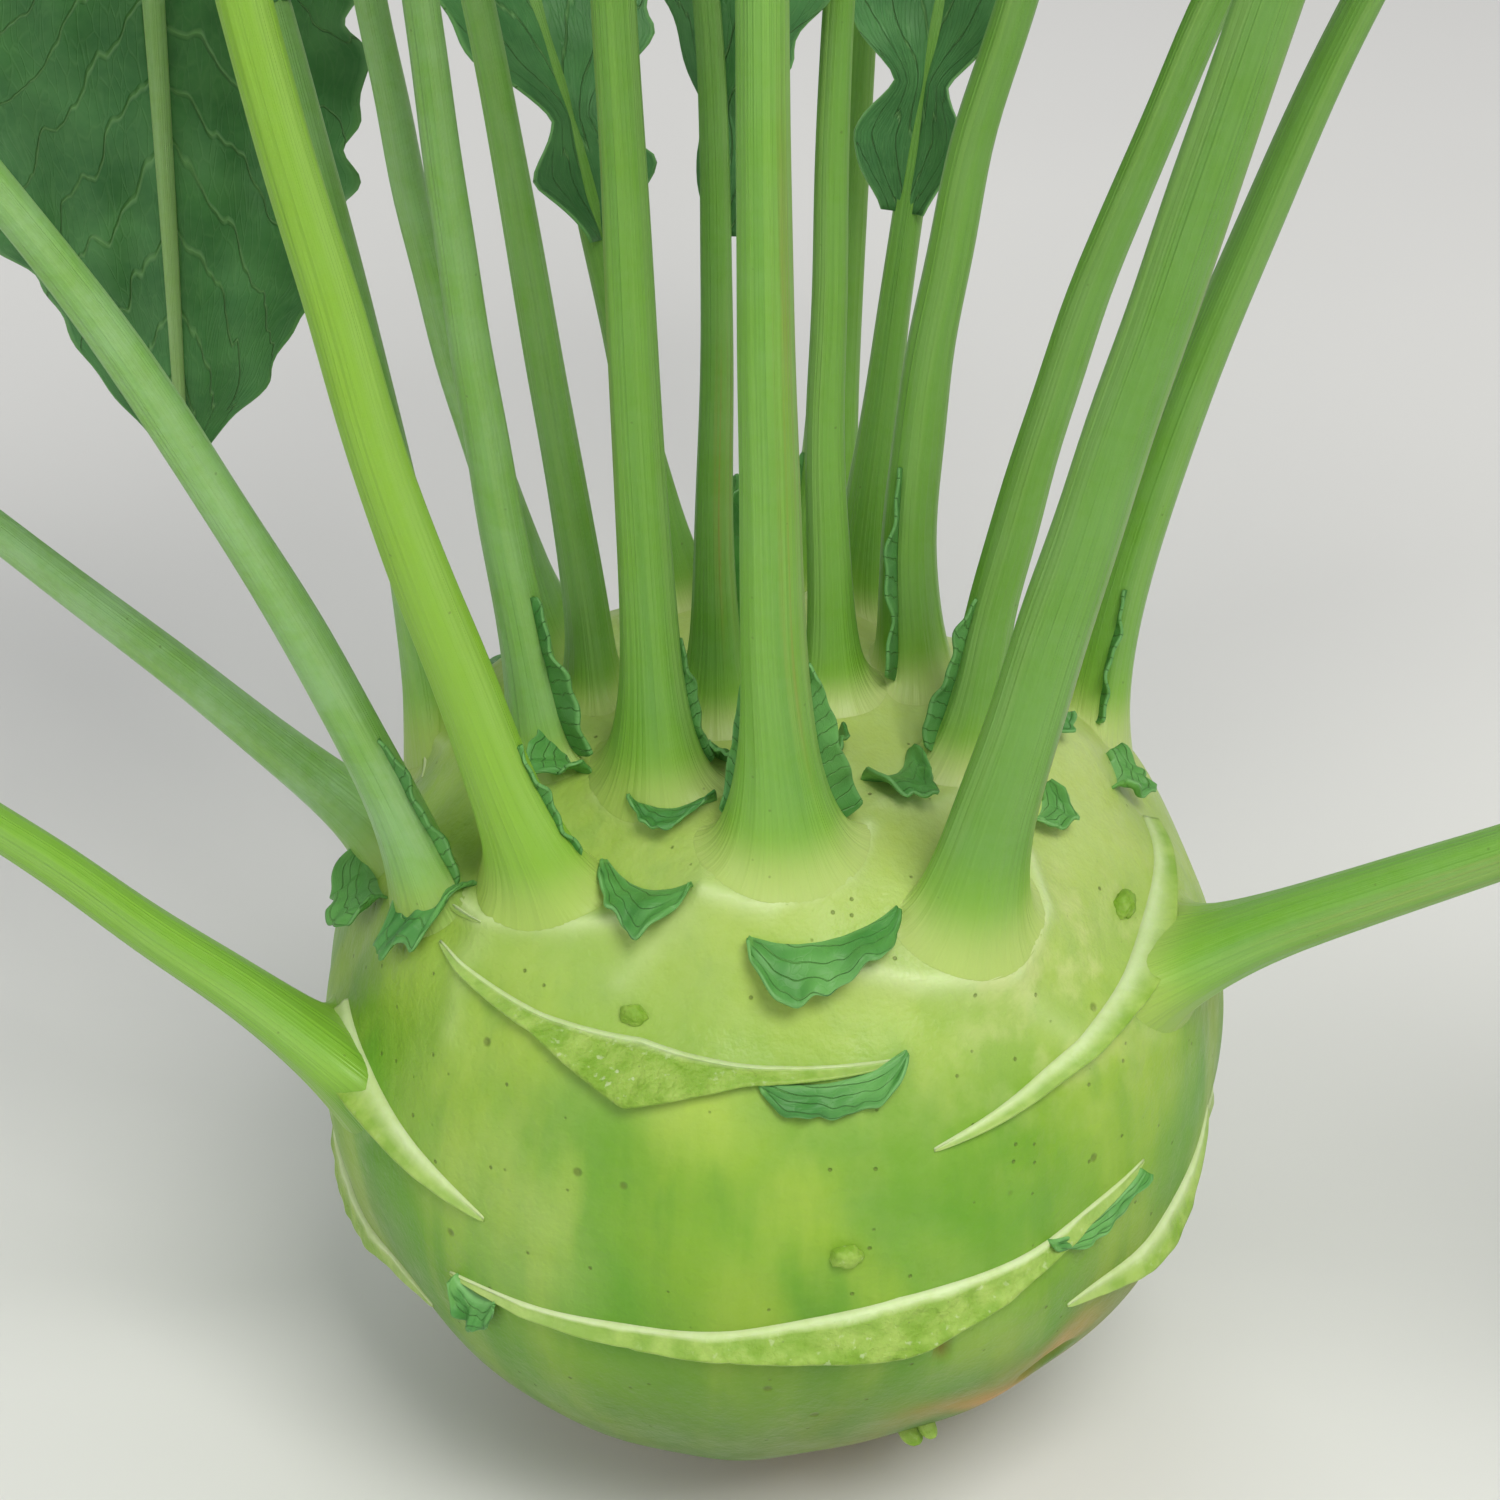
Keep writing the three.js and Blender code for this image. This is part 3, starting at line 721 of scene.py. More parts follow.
@dataclass(frozen=True)
class StalkFinish(Finish):
    """Stalk flesh with fine lengthwise ribs, a bluish bloom and brown streaks where the mesh says, with a
    painted highlight along its side edges.

    Its flat coordinates are turns round the stalk by metres along it.
    """

    relief: float = 0.0006
    fresh: Colour = (124, 180, 50)
    green: Colour = (108, 166, 42)
    rib: Colour = (144, 196, 74)
    yellow: Colour = (154, 200, 48)
    dim: Colour = (86, 146, 34)
    foot: Colour = (140, 188, 58)
    skin: Colour = (160, 192, 70)
    green_skin: Colour = (106, 163, 34)
    creamy_skin: Colour = (202, 219, 136)
    wax: Colour = (168, 208, 158)
    brown: Colour = (160, 118, 62)
    pale: Colour = (206, 230, 164)
    speck: Colour = (90, 110, 44)

    def paint(self, n: Nodes, shader: bpy.types.Node) -> None:
        """Links the stalks' colours, gloss and lengthwise relief.

        Args:
            n: Builder of the material's tree.
            shader: The material's shader.
        """
        ribs = n.noise(n.plan, scale=1.0, detail=3.0, stretch=(55.0, 7.0, 1.0))
        broad = n.noise(n.plan, scale=1.0, detail=2.0, stretch=(9.0, 5.0, 1.0))
        colour = n.mix(n.span(broad, 0.35, 0.65), linear(*self.fresh), linear(*self.green))
        colour = n.tint(colour, n.span(ribs, 0.42, 0.72, 0.0, 0.35), self.rib)
        colour = n.tint(colour, n.value_of("yellow"), self.yellow)
        colour = n.tint(colour, n.value_of("dim"), self.dim)
        colour = n.tint(colour, n.value_of("foot"), self.foot)
        # Where the foot joins the bulb it takes the skin's colours, with their painted shade on the left and
        # painted highlight on the upper right.
        skin = n.tint(linear(*self.skin), n.value_of("deep"), self.green_skin)
        skin = n.tint(skin, n.value_of("cream"), self.creamy_skin)
        colour = n.mix(n.value_of("joined"), colour, skin)
        colour = Effects.bloom(n, colour, self.wax, n.value_of("bloom"))
        streaky = n.noise(n.plan, scale=1.0, detail=4.0, stretch=(34.0, 9.0, 1.0))
        streak = n.times(n.value_of("brown"), n.span(streaky, 0.42, 0.68, 0.15, 1.0))
        colour = n.tint(colour, streak, self.brown)
        # Paler midrib on the blade, and a painted highlight along the stalk's side edges.
        colour = n.tint(colour, n.value_of("pale"), self.pale)
        colour = n.tint(colour, n.times(Effects.specks(n, 260.0, 0.12), 0.45), self.speck)
        n.link(colour, shader, "Base Color")
        self.emboss(n, shader, ribs)
        n.link(n.span(ribs, 0.3, 0.7, 0.34, 0.5), shader, "Roughness")


@dataclass(frozen=True)
class BladeFinish(Finish):
    """Blue-green leaf with a pale net of veins and a waxy bloom.

    Attributes:
        dark: Colour of the flesh between the veins.
        light: Colour of the paler patches.
        vein: Colour of the veins.
        rim: Colour of the edge.
        wax: Colour of the bloom.
        count: Side veins to a leaf length.
        net: Cells of the net to a unit of the plan.
        net_share: Strength of the net beside the ribs.
        line_share: Strength of all the veins.
        bloom: Amount of bloom.
    """

    relief: float = 0.0012
    dark: Colour = (40, 104, 50)
    light: Colour = (74, 138, 74)
    vein: Colour = (140, 190, 118)
    rim: Colour = (128, 186, 112)
    wax: Colour = (112, 166, 98)
    count: float = 11.0
    net: float = 22.0
    net_share: float = 0.12
    line_share: float = 0.55
    bloom: float = 0.35

    def paint(self, n: Nodes, shader: bpy.types.Node) -> None:
        """Links the blade's colours and the relief of its veins.

        Args:
            n: Builder of the material's tree.
            shader: The material's shader.
        """
        patches = n.noise(n.place, scale=38.0, detail=4.0)
        colour = n.mix(n.span(patches, 0.35, 0.68), linear(*self.dark), linear(*self.light))
        colour = Effects.bloom(n, colour, self.wax, self.bloom)
        ribs, net = Effects.veins(n, self.count, self.net)
        line = n.times(n.math("MAXIMUM", ribs, n.times(net, self.net_share)), self.line_share)
        colour = n.tint(colour, line, self.vein)
        n.link(n.tint(colour, n.value_of("edge"), self.rim), shader, "Base Color")
        self.emboss(n, shader, n.math("SUBTRACT", n.times(patches, 0.5), line))


@dataclass(frozen=True)
class FloorFinish(Finish):
    """Plain pale floor with a hardly visible change of grey."""

    darker: tuple[float, ...] = (0.78, 0.78, 0.77, 1.0)
    lighter: tuple[float, ...] = (0.82, 0.82, 0.81, 1.0)

    def paint(self, n: Nodes, shader: bpy.types.Node) -> None:
        """Links the change of grey."""
        grain = n.noise(n.place, scale=3.0, detail=2.0)
        n.link(n.mix(grain, self.darker, self.lighter), shader, "Base Color")


SKIN = SkinFinish("kohlrabi_skin", roughness=0.42, coat=0.05, subsurface=0.12, gloss=0.28)
SCAR = LipFinish("leaf_scar", roughness=0.5, subsurface=0.15)
STALK = StalkFinish("leaf_stalk_flesh", roughness=0.4, coat=0.08, subsurface=0.12)
BLADE = BladeFinish("leaf_blade_green", roughness=0.5, subsurface=0.05, depth=0.001)
EAR = BladeFinish(
    "leaf_ear_green", roughness=0.48, subsurface=0.05, depth=0.001, dark=(44, 122, 44), light=(98, 168, 76),
    vein=(142, 198, 108), count=6.0, net=9.0, line_share=0.3, bloom=0.4,
)
FLOOR = FloorFinish("pale_floor", roughness=0.7)


# The bulb


@dataclass(frozen=True)
class Seat:
    """A place on the bulb that a leaf grows or grew from, with the buttress under it.

    Attributes:
        azimuth: Degrees round the bulb.
        latitude: Degrees up the bulb.
        half: Half width of the buttress in millimetres.
        rise: How far it stands out in millimetres.
        drop: How far it runs down the bulb in millimetres.
    """

    azimuth: float
    latitude: float
    half: float
    rise: float
    drop: float


@dataclass(frozen=True)
class Notch:
    """A corky dent in the skin.

    Attributes:
        azimuth: Degrees round the bulb.
        latitude: Degrees up the bulb.
        wide: Half its width in millimetres.
        tall: Half its height.
        depth: Its depth.
    """

    azimuth: float
    latitude: float
    wide: float
    tall: float
    depth: float


@dataclass(frozen=True)
class Fold:
    """A soft ridge in the skin that runs on from the corner of a leaf's foot.

    Attributes:
        places: Azimuth and latitude of its points.
        width: Half its width in millimetres.
        rise: Its height.
        white: How white its crest is, from 0 to 1.
    """

    places: tuple[tuple[float, float], ...]
    width: float
    rise: float
    white: float = 0.5


@dataclass(frozen=True)
class Bulb:
    """The swollen stem: a round profile turned about +Z, with the relief that leaves gave it.

    Attributes:
        radius: Widest radius in millimetres.
        waist_height: Height of the widest ring.
        crown_rise: Height of the crown above it.
        lower_fullness: Power of the cosine below the widest ring.
        upper_fullness: The same above it.
        foot_radius: Radius of the flat cut foot.
        stump_height: Height of the stump on the foot.
        stump_latitude: Degrees up the bulb where the skin meets the stump.
        cut_brown: How brown the stump is.
        crown_latitude: Degrees up the bulb where the skin's last ring lies.
        unevenness: Height of the broad waves round the bulb.
        swell: Height of the soft swellings on the crown.
        meridian: Millimetres up the skin to a radian of latitude.
        steep_side: Millimetres over which a buttress ends above its seat.
        columns: Points round the skin.
        rows: Rings of the skin.
        leaf_seats: Buttresses under leaves.
        scar_seats: Buttresses under scars.
        notches: Corky dents.
        folds: Soft ridges.
    """

    radius: float = 120.0
    waist_height: float = 106.0
    crown_rise: float = 112.0
    lower_fullness: float = 1.15
    upper_fullness: float = 0.85
    foot_radius: float = 33.0
    stump_height: float = 6.0
    stump_latitude: float = -64.0
    cut_brown: float = 0.8
    crown_latitude: float = 89.6
    unevenness: float = 1.6
    swell: float = 1.3
    meridian: float = 112.0
    steep_side: float = 9.0
    columns: int = 416
    rows: int = 228
    leaf_seats: tuple[Seat, ...] = ()
    scar_seats: tuple[Seat, ...] = ()
    notches: tuple[Notch, ...] = ()
    folds: tuple[Fold, ...] = ()

    def profile(self, latitude: Array) -> tuple[Array, Array]:
        """Radius and height of the bulb's outline.

        Args:
            latitude: Degrees up the bulb.

        Returns:
            Radius, which is the widest radius times a power of the cosine, and height, which is the
            waist plus the rise times the sine.
        """
        angle = np.radians(latitude)
        upper = np.asarray(latitude) >= 0
        fullness = np.where(upper, self.upper_fullness, self.lower_fullness)
        rise = np.where(upper, self.crown_rise, self.waist_height)
        around = self.radius * np.maximum(np.cos(angle), 0.0) ** fullness
        return around, self.waist_height + rise * np.sin(angle)

    def directions(self, azimuth: Array, latitude: Array) -> tuple[Array, Array, Array]:
        """Directions on the smooth profile, from the slope between half a degree below and above.

        Args:
            azimuth: Degrees round the bulb.
            latitude: Degrees up the bulb.

        Returns:
            The outward normal and the directions round and up the skin, as unit vectors.
        """
        step = 0.5
        below = self.profile(latitude - step)
        above = self.profile(np.minimum(latitude + step, 90.0))
        slope = np.hypot(above[0] - below[0], above[1] - below[1])
        out, rise = (above[1] - below[1]) / slope, (below[0] - above[0]) / slope
        turn = np.radians(azimuth)
        normal = around_z(turn, out, rise)
        side = np.stack([-np.sin(turn), np.cos(turn), np.zeros_like(turn)], axis=-1)
        return normal, side, np.cross(normal, side)

    def smooth(self, azimuth: Array, latitude: Array) -> Array:
        """Returns points on the profile turned about +Z, without any relief."""
        return around_z(np.radians(azimuth), *self.profile(latitude))

    def skin(self, azimuth: Array, latitude: Array, lift: Array | float = 0.0) -> Array:
        """Points on the bulb.

        Args:
            azimuth: Degrees round the bulb.
            latitude: Degrees up the bulb.
            lift: Millimetres above the skin.

        Returns:
            Profile point plus the normal times the unevenness, the relief and the lift.
        """
        azimuth, latitude = np.broadcast_arrays(np.asarray(azimuth, float), np.asarray(latitude, float))
        normal = self.directions(azimuth, latitude)[0]
        out = self.uneven(azimuth, latitude) + self.relief(azimuth, latitude) + lift
        return self.smooth(azimuth, latitude) + normal * out[..., None]

    def uneven(self, azimuth: Array, latitude: Array) -> Array:
        """Broad unevenness, largest at the waist.

        Args:
            azimuth: Degrees round the bulb.
            latitude: Degrees up the bulb.

        Returns:
            Millimetres: the sum of two sine waves round the bulb, times the cosine of the latitude.
        """
        turn = np.radians(azimuth)
        waves = np.sin(3 * turn + 0.6) + 0.7 * np.sin(5 * turn + np.radians(latitude) * 2)
        return self.unevenness * np.cos(np.radians(latitude)) * waves

    def relief(self, azimuth: Array, latitude: Array) -> Array:
        """Relief of the skin.

        Args:
            azimuth: Degrees round the bulb.
            latitude: Degrees up the bulb.

        Returns:
            Two sine waves round the bulb as soft ribs, plus the buttresses and folds, less the notches,
            plus seeded swellings on the crown.
        """
        turn = np.radians(azimuth)
        ribs = 0.45 * np.sin(11 * turn + 1.3 + 0.8 * np.sin(np.radians(3 * latitude)))
        ribs = ribs + 0.3 * np.sin(19 * turn + 2.1 + np.radians(latitude))
        lift = ribs * np.cos(np.radians(latitude)) ** 2
        for seat in (*self.leaf_seats, *self.scar_seats):
            lift = lift + self.buttress(seat, azimuth, latitude)
        for notch in self.notches:
            lift = lift - notch.depth * self.dent(notch, azimuth, latitude)
        for fold in self.folds:
            lift = lift + fold.rise * self.crest(fold, azimuth, latitude)
        swellings = Ripples(12, 44.0).at(self.smooth(azimuth, latitude))
        return lift + self.swell * swellings * smoothstep(latitude, 18.0, 46.0)

    def crest(self, fold: Fold, azimuth: Array, latitude: Array) -> Array:
        """Shape of a fold.

        Args:
            fold: The fold.
            azimuth: Degrees round the bulb.
            latitude: Degrees up the bulb.

        Returns:
            Share of its height: exp(-(d / width) ** 1.5), with d the distance from its broken line.
        """
        nearest = np.full(np.shape(azimuth), np.inf)
        for start, end in zip(fold.places, fold.places[1:]):
            x, y = self.local(azimuth, latitude, start)
            across, up = (float(v) for v in self.local(np.array(end[0]), np.array(end[1]), start))
            share = np.clip((x * across + y * up) / (across ** 2 + up ** 2), 0.0, 1.0)
            nearest = np.minimum(nearest, np.hypot(x - share * across, y - share * up))
        return np.exp(-((nearest / fold.width) ** 1.5))

    def dent(self, notch: Notch, azimuth: Array, latitude: Array) -> Array:
        """Returns how far into a notch each place is, from 0 to 1: a flat-bottomed bell."""
        x, y = self.local(azimuth, latitude, (notch.azimuth, notch.latitude))
        return bell((x / notch.wide) ** 2 + (y / notch.tall) ** 2, 1.0)

    def local(self, azimuth: Array, latitude: Array, place: tuple[float, float]) -> tuple[Array, Array]:
        """Distances on the skin from a place.

        Args:
            azimuth: Degrees round the bulb.
            latitude: Degrees up the bulb.
            place: Azimuth and latitude that distances are taken from.

        Returns:
            Millimetres round and up the skin.
        """
        around = self.profile(latitude)[0]
        up = np.radians(latitude - place[1]) * self.meridian
        return np.radians(wrap_degrees(azimuth - place[0])) * around, up

    def buttress(self, seat: Seat, azimuth: Array, latitude: Array) -> Array:
        """Swelling under a leaf.

        Args:
            seat: The leaf's place and sizes.
            azimuth: Degrees round the bulb.
            latitude: Degrees up the bulb.

        Returns:
            Rise times a flat-topped bell across, times a slow fall below and a steep one above.
        """
        x, y = self.local(azimuth, latitude, (seat.azimuth, seat.latitude))
        widening = seat.half * (1.0 + 0.5 * np.clip(-y / seat.drop, 0.0, 2.0))
        across = np.exp(-np.abs(x / widening) ** 3)
        below = np.exp(-((np.clip(-y, 0.0, None) / seat.drop) ** 1.4))
        above = bell(np.clip(y, 0.0, None), self.steep_side)
        return seat.rise * across * np.where(y < 0, below, above)

    def locate(self, points: Array) -> tuple[Array, Array]:
        """Azimuth and latitude of the skin nearest to points.

        Args:
            points: Places in millimetres, shape (n, 3).

        Returns:
            Degrees round and up the bulb, the latter from a table of the profile.
        """
        table = np.linspace(self.stump_latitude, 89.9, 1400)
        around, height = self.profile(table)
        out, up = np.hypot(points[:, 0], points[:, 1])[:, None], points[:, 2][:, None]
        nearest = np.argmin((out - around) ** 2 + (up - height) ** 2, axis=1)
        return np.degrees(np.arctan2(points[:, 1], points[:, 0])), table[nearest]

    def values(self, azimuth: Array, latitude: Array) -> dict[str, Array]:
        """Colour masks over the bulb, from smooth steps of the latitude, bells round places and ripples.

        Args:
            azimuth: Degrees round the bulb.
            latitude: Degrees up the bulb.

        Returns:
            deep green patches with painted shade on the left, cream with a painted highlight on the upper
            right, painted sunlight, warm brown, pale crests, painted shade low down and in the notches, and
            scuffs.
        """
        points = self.skin(azimuth, latitude)
        broad = Ripples(5, 90.0).at(points)
        wave = 13 * np.radians(azimuth) + 0.7 * np.sin(np.radians(latitude * 4)) + broad
        stripes = np.sin(wave) * Ripples(6, 70.0).at(points)
        # Share towards the left side: it makes the painted shade heavier on the left and the painted
        # highlight and sunlight stronger on the right.
        to_left = 0.5 - 0.5 * np.cos(np.radians(azimuth - 10.0))
        low = 1.0 - smoothstep(latitude, 5.0, 52.0)
        # Deep green patches over the lower half, with painted shade that is heavier on the left side.
        deep = np.clip(low * (0.42 + 0.26 * to_left + 0.3 * stripes) + 0.12 * broad, 0.0, 1.0)
        # Cream crown of the skin, plus a painted highlight: strong on the upper right side, weak on the left.
        cream = smoothstep(latitude, 16.0, 62.0) * (0.24 + 0.9 * (1.0 - to_left)) + 0.14 * broad * low
        cream = cream + 0.45 * smoothstep(latitude, 62.0, 76.0)
        right_low = bell(wrap_degrees(azimuth + 44.0), 25.0) * bell(latitude + 27.0, 13.0)
        bottom = 1.0 - smoothstep(latitude, -62.0, -36.0)
        warm = np.clip(1.35 * right_low * (0.7 + 0.35 * Ripples(8, 26.0).at(points)) + 0.5 * bottom, 0.0, 1.0)
        # Painted shade: darker towards the bottom of the bulb.
        shade = 0.85 * (1.0 - smoothstep(latitude + 4.0 * broad, -42.0, 8.0))
        # Inside a notch: corky brown, and painted shade in the dent.
        for notch in self.notches:
            inside = self.dent(notch, azimuth, latitude)
            warm, shade = np.maximum(warm, 0.7 * inside), np.maximum(shade, 0.9 * inside)
        return {
            "deep": deep,
            "cream": np.clip(cream, 0.0, 1.0),
            # Painted sunlight: yellow over the upper part, strongest on the right side.
            "sunny": smoothstep(latitude, -10.0, 30.0) * (1.0 - 0.7 * to_left),
            "warm": warm,
            "pale": self.whitened(azimuth, latitude),
            "shade": shade,
            "scuff": bell(wrap_degrees(azimuth + 42.0), 24.0) * bell(latitude - 38.0, 14.0),
        }

    def whitened(self, azimuth: Array, latitude: Array) -> Array:
        """White marks on the skin.

        Args:
            azimuth: Degrees round the bulb.
            latitude: Degrees up the bulb.

        Returns:
            The most of each fold's crest and of a faint ring at the outer corners of each leaf's seat.
        """
        white = np.zeros(np.shape(azimuth))
        for fold in self.folds:
            white = np.maximum(white, fold.white * self.crest(fold, azimuth, latitude) ** 2)
        for seat in self.leaf_seats:
            x, y = self.local(azimuth, latitude, (seat.azimuth, seat.latitude))
            reach = np.hypot(x / seat.half, np.minimum(y, 0.0) / (0.8 * seat.half))
            corner = bell(reach - 1.02, 0.09) * smoothstep(np.abs(x), 0.2 * seat.half, seat.half)
            white = np.maximum(white, 0.12 * corner * (y < 3.0))
        return white

    def build(self) -> bpy.types.Object:
        """Builds the skin from the flat foot to the crown.

        Returns:
            The piece.
        """
        latitude = np.linspace(self.stump_latitude, self.crown_latitude, self.rows)
        azimuth = np.arange(self.columns) * 360.0 / self.columns
        az, lat = np.meshgrid(azimuth, latitude)
        stump_radius = self.foot_radius + np.array([[0.0], [0.6], [0.0]])
        stump_height = np.array([[0.0], [1.2], [self.stump_height]])
        stump = around_z(np.radians(azimuth)[None, :], stump_radius, stump_height)
        rings = len(stump)
        values = {}
        for key, value in self.values(az, lat).items():
            values[key] = np.concatenate([np.repeat(value[:1], rings, axis=0), value])
        values["warm"][:rings] = self.cut_brown
        surface = Surface()
        surface.add_grid(np.concatenate([stump, self.skin(az, lat)]), values, closed=True, capped=True)
        return dress(surface.build("bulb_skin", SKIN), Slot.SKIN, "bulb")


@dataclass(frozen=True)
class Lip:
    """A crescent shelf left by a leaf, or the long lip under a leaf that is still there.

    Attributes:
        azimuth: Degrees round the bulb of its middle.
        latitude: Degrees up the bulb of its middle.
        span: Half its width in degrees.
        tip_rise: Degrees by which both ends are higher.
        tilt: Degrees by which the right end is higher.
        depth: Height of its face in millimetres.
        reach: How far its lower edge stands out in millimetres.
        sag: Extra height of the face near sag_at, in millimetres.
        sag_at: Where along it the face is highest, from -1 to 1.
        rough: How rough and cut the face is, from 0 to 1.
        start: Where along it the built part starts, from -1 to 1.
        end: Where it ends.
    """

    azimuth: float
    latitude: float
    span: float
    tip_rise: float
    tilt: float
    depth: float
    reach: float
    sag: float = 0.0
    sag_at: float = 0.0
    rough: float = 0.6
    start: float = -1.0
    end: float = 1.0

    # Across the face, from the groove above it to its buried underside: up in shares of the depth,
    # out in shares of the reach, then two plain offsets in millimetres.
    FACE = (
        (0.50, 0.00, 1.6, -1.6), (0.50, 0.05, 0.7, -0.5), (0.50, 0.08, 0.2, 0.55),
        (0.49, 0.12, -0.3, 0.8), (0.38, 0.22, 0.0, 0.55), (0.24, 0.36, 0.0, 0.2),
        (0.08, 0.54, 0.0, 0.0), (-0.12, 0.74, 0.0, 0.0), (-0.32, 0.92, 0.0, 0.1),
        (-0.47, 1.00, 0.2, 0.2), (-0.52, 0.96, -0.3, -0.2), (-0.53, 0.72, -0.4, -0.5),
        (-0.51, 0.40, 0.0, -0.7), (-0.50, 0.10, 0.6, -1.0), (-0.50, 0.00, 1.6, -1.8),
    )

    def size(self, t: Array) -> Array:
        """Returns how full the lip is along its length: 1 in the middle, running out at both ends."""
        ends = np.clip(1.0 - t * t, 0.0, None) ** 0.7
        return 0.1 + 0.9 * ends * (1.0 - 0.32 * np.abs(t - self.sag_at))

    def line(self, t: Array) -> tuple[Array, Array]:
        """Returns azimuth and latitude of the lip's middle line at t from -1 to 1."""
        return self.azimuth + self.span * t, self.latitude + self.tip_rise * t * t + self.tilt * t

    def add_to(self, surface: Surface, bulb: Bulb, stations: int = 96) -> None:
        """Adds the lip's skin: the face's section carried along the line, as large as the lip is full.

        The sag deepens the face near sag_at, and seeded ripples roughen what is exposed of it.

        Args:
            surface: Mesh that takes it.
            bulb: Bulb that it lies on.
            stations: Points along it.
        """
        t = np.linspace(self.start, self.end, stations)[:, None]
        azimuth, latitude = self.line(t)
        size = self.size(t)
        peak = self.sag * np.clip(1.0 - np.abs(t - self.sag_at) / 0.42, 0.0, None) ** 1.2
        up_share, out_share, up_offset, out_offset = np.array(self.FACE).T
        up = up_share * (self.depth * size + peak * 0.5) + up_offset * (0.35 + 0.65 * size)
        up = up - (up_share < 0.1) * peak * 0.75
        out = out_share * self.reach * size + out_offset * (0.4 + 0.6 * size)
        az = azimuth + 0.0 * up
        lat = latitude + np.degrees(up / bulb.meridian)
        number = np.arange(len(self.FACE))
        exposed = np.where((number > 3) & (number < 12), 1.0, 0.25)
        flat = bulb.skin(az, lat)
        chatter = Ripples(31, 11.0).at(flat) * 0.22 + Ripples(32, 4.2).at(flat) * 0.1
        out = out + chatter * exposed * (0.35 + self.rough) * np.minimum(size, 0.8)
        across = number / number[-1] + 0.0 * t
        wax = 1.0 - smoothstep(across, 0.22, 0.62 - 0.3 * self.rough)
        values = {
            "wax": np.maximum(wax, 0.3 * (1.0 - size)),
            "rough": self.rough * bell(t - self.sag_at, 0.55) * smoothstep(across, 0.2, 0.4),
            # Painted shade in the groove along the top of the scar and under its lower edge.
            "brown": bell(across - 0.02, 0.05) * 0.8 + bell(across - 0.86, 0.07) * 0.55,
        }
        surface.add_grid(bulb.skin(az, lat, out), values, closed=True, capped=True)


@dataclass(frozen=True)
class Ear:
    """A small crinkled leaf lobe that hangs from the edge of a lip.

    Attributes:
        start: Azimuth and latitude of the left end of the edge it hangs from.
        end: The same for the right end.
        drop: How far it hangs down the bulb in millimetres.
        curl: How far its lower edge stands off the bulb in millimetres.
        bulge: Where along it the ear is longest, from 0 to 1.
        seed: Seed of its crinkles.
    """

    start: tuple[float, float]
    end: tuple[float, float]
    drop: float
    curl: float = 5.0
    bulge: float = 0.5
    seed: int = 1

    # Points along and down it, the share of the drop that is buried, how far the edge sags between its
    # ends in degrees, and the degrees of width that make one unit of its flat coordinates.
    COLUMNS = 56
    ROWS = 20
    ROOT = -0.12
    SLACK = 1.6
    PLAN_DEGREES = 20.0

    def add_to(self, surface: Surface, bulb: Bulb) -> None:
        """Adds the ear: a grid along the edge by down the drop.

        The drop is longest at the bulge, the free edge is toothed, and sine ripples that grow
        downwards crinkle the sheet.

        Args:
            surface: Mesh that takes it.
            bulb: Bulb that it hangs on.
        """
        draw = np.random.default_rng(self.seed)
        phases = draw.uniform(0.0, 6.28, 6)
        t = np.linspace(0.0, 1.0, self.COLUMNS)[None, :]
        down = np.linspace(self.ROOT, 1.0, self.ROWS)[:, None]
        lean = t ** (math.log(0.5) / math.log(self.bulge))
        shape = np.clip(np.sin(math.pi * lean), 0.0, None) ** 0.6
        teeth = 0.13 * np.sin(9 * t + phases[0]) + 0.07 * np.sin(19 * t + phases[2])
        teeth = 1.0 + teeth + 0.035 * np.sin(41 * t + phases[1])
        reach = self.drop * (0.12 + 0.88 * shape) * teeth
        wide, climb = self.end[0] - self.start[0], self.end[1] - self.start[1]
        az = self.start[0] + wide * (t + 0.0 * down)
        edge = self.start[1] + climb * t - self.SLACK * np.sin(math.pi * t)
        lat = edge - np.degrees(down * reach / bulb.meridian)
        crinkle = np.sin(13 * t + phases[3]) + 0.6 * np.sin(29 * t + 5 * down + phases[4])
        lumps = np.sin(11 * t + 4 * down + phases[5]) * np.sin(7 * t - 6 * down + phases[2])
        hang = np.clip(down, 0.0, None)
        lift = 1.2 + self.curl * hang ** 0.8 * (0.55 + 0.45 * shape) + (0.75 * crinkle + 1.1 * lumps) * hang
        lift = np.where(down < 0, -1.5, np.maximum(lift, 0.8))
        values = {"edge": bell(down, 0.1) + 0.0 * t + smoothstep(down, 0.93, 1.0) * 0.6}
        plan = np.stack(np.broadcast_arrays(t * abs(wide) / self.PLAN_DEGREES, down * 0.6), axis=-1)
        surface.add_grid(bulb.skin(az, lat, lift), values, plan, flip=True)


# Leaves


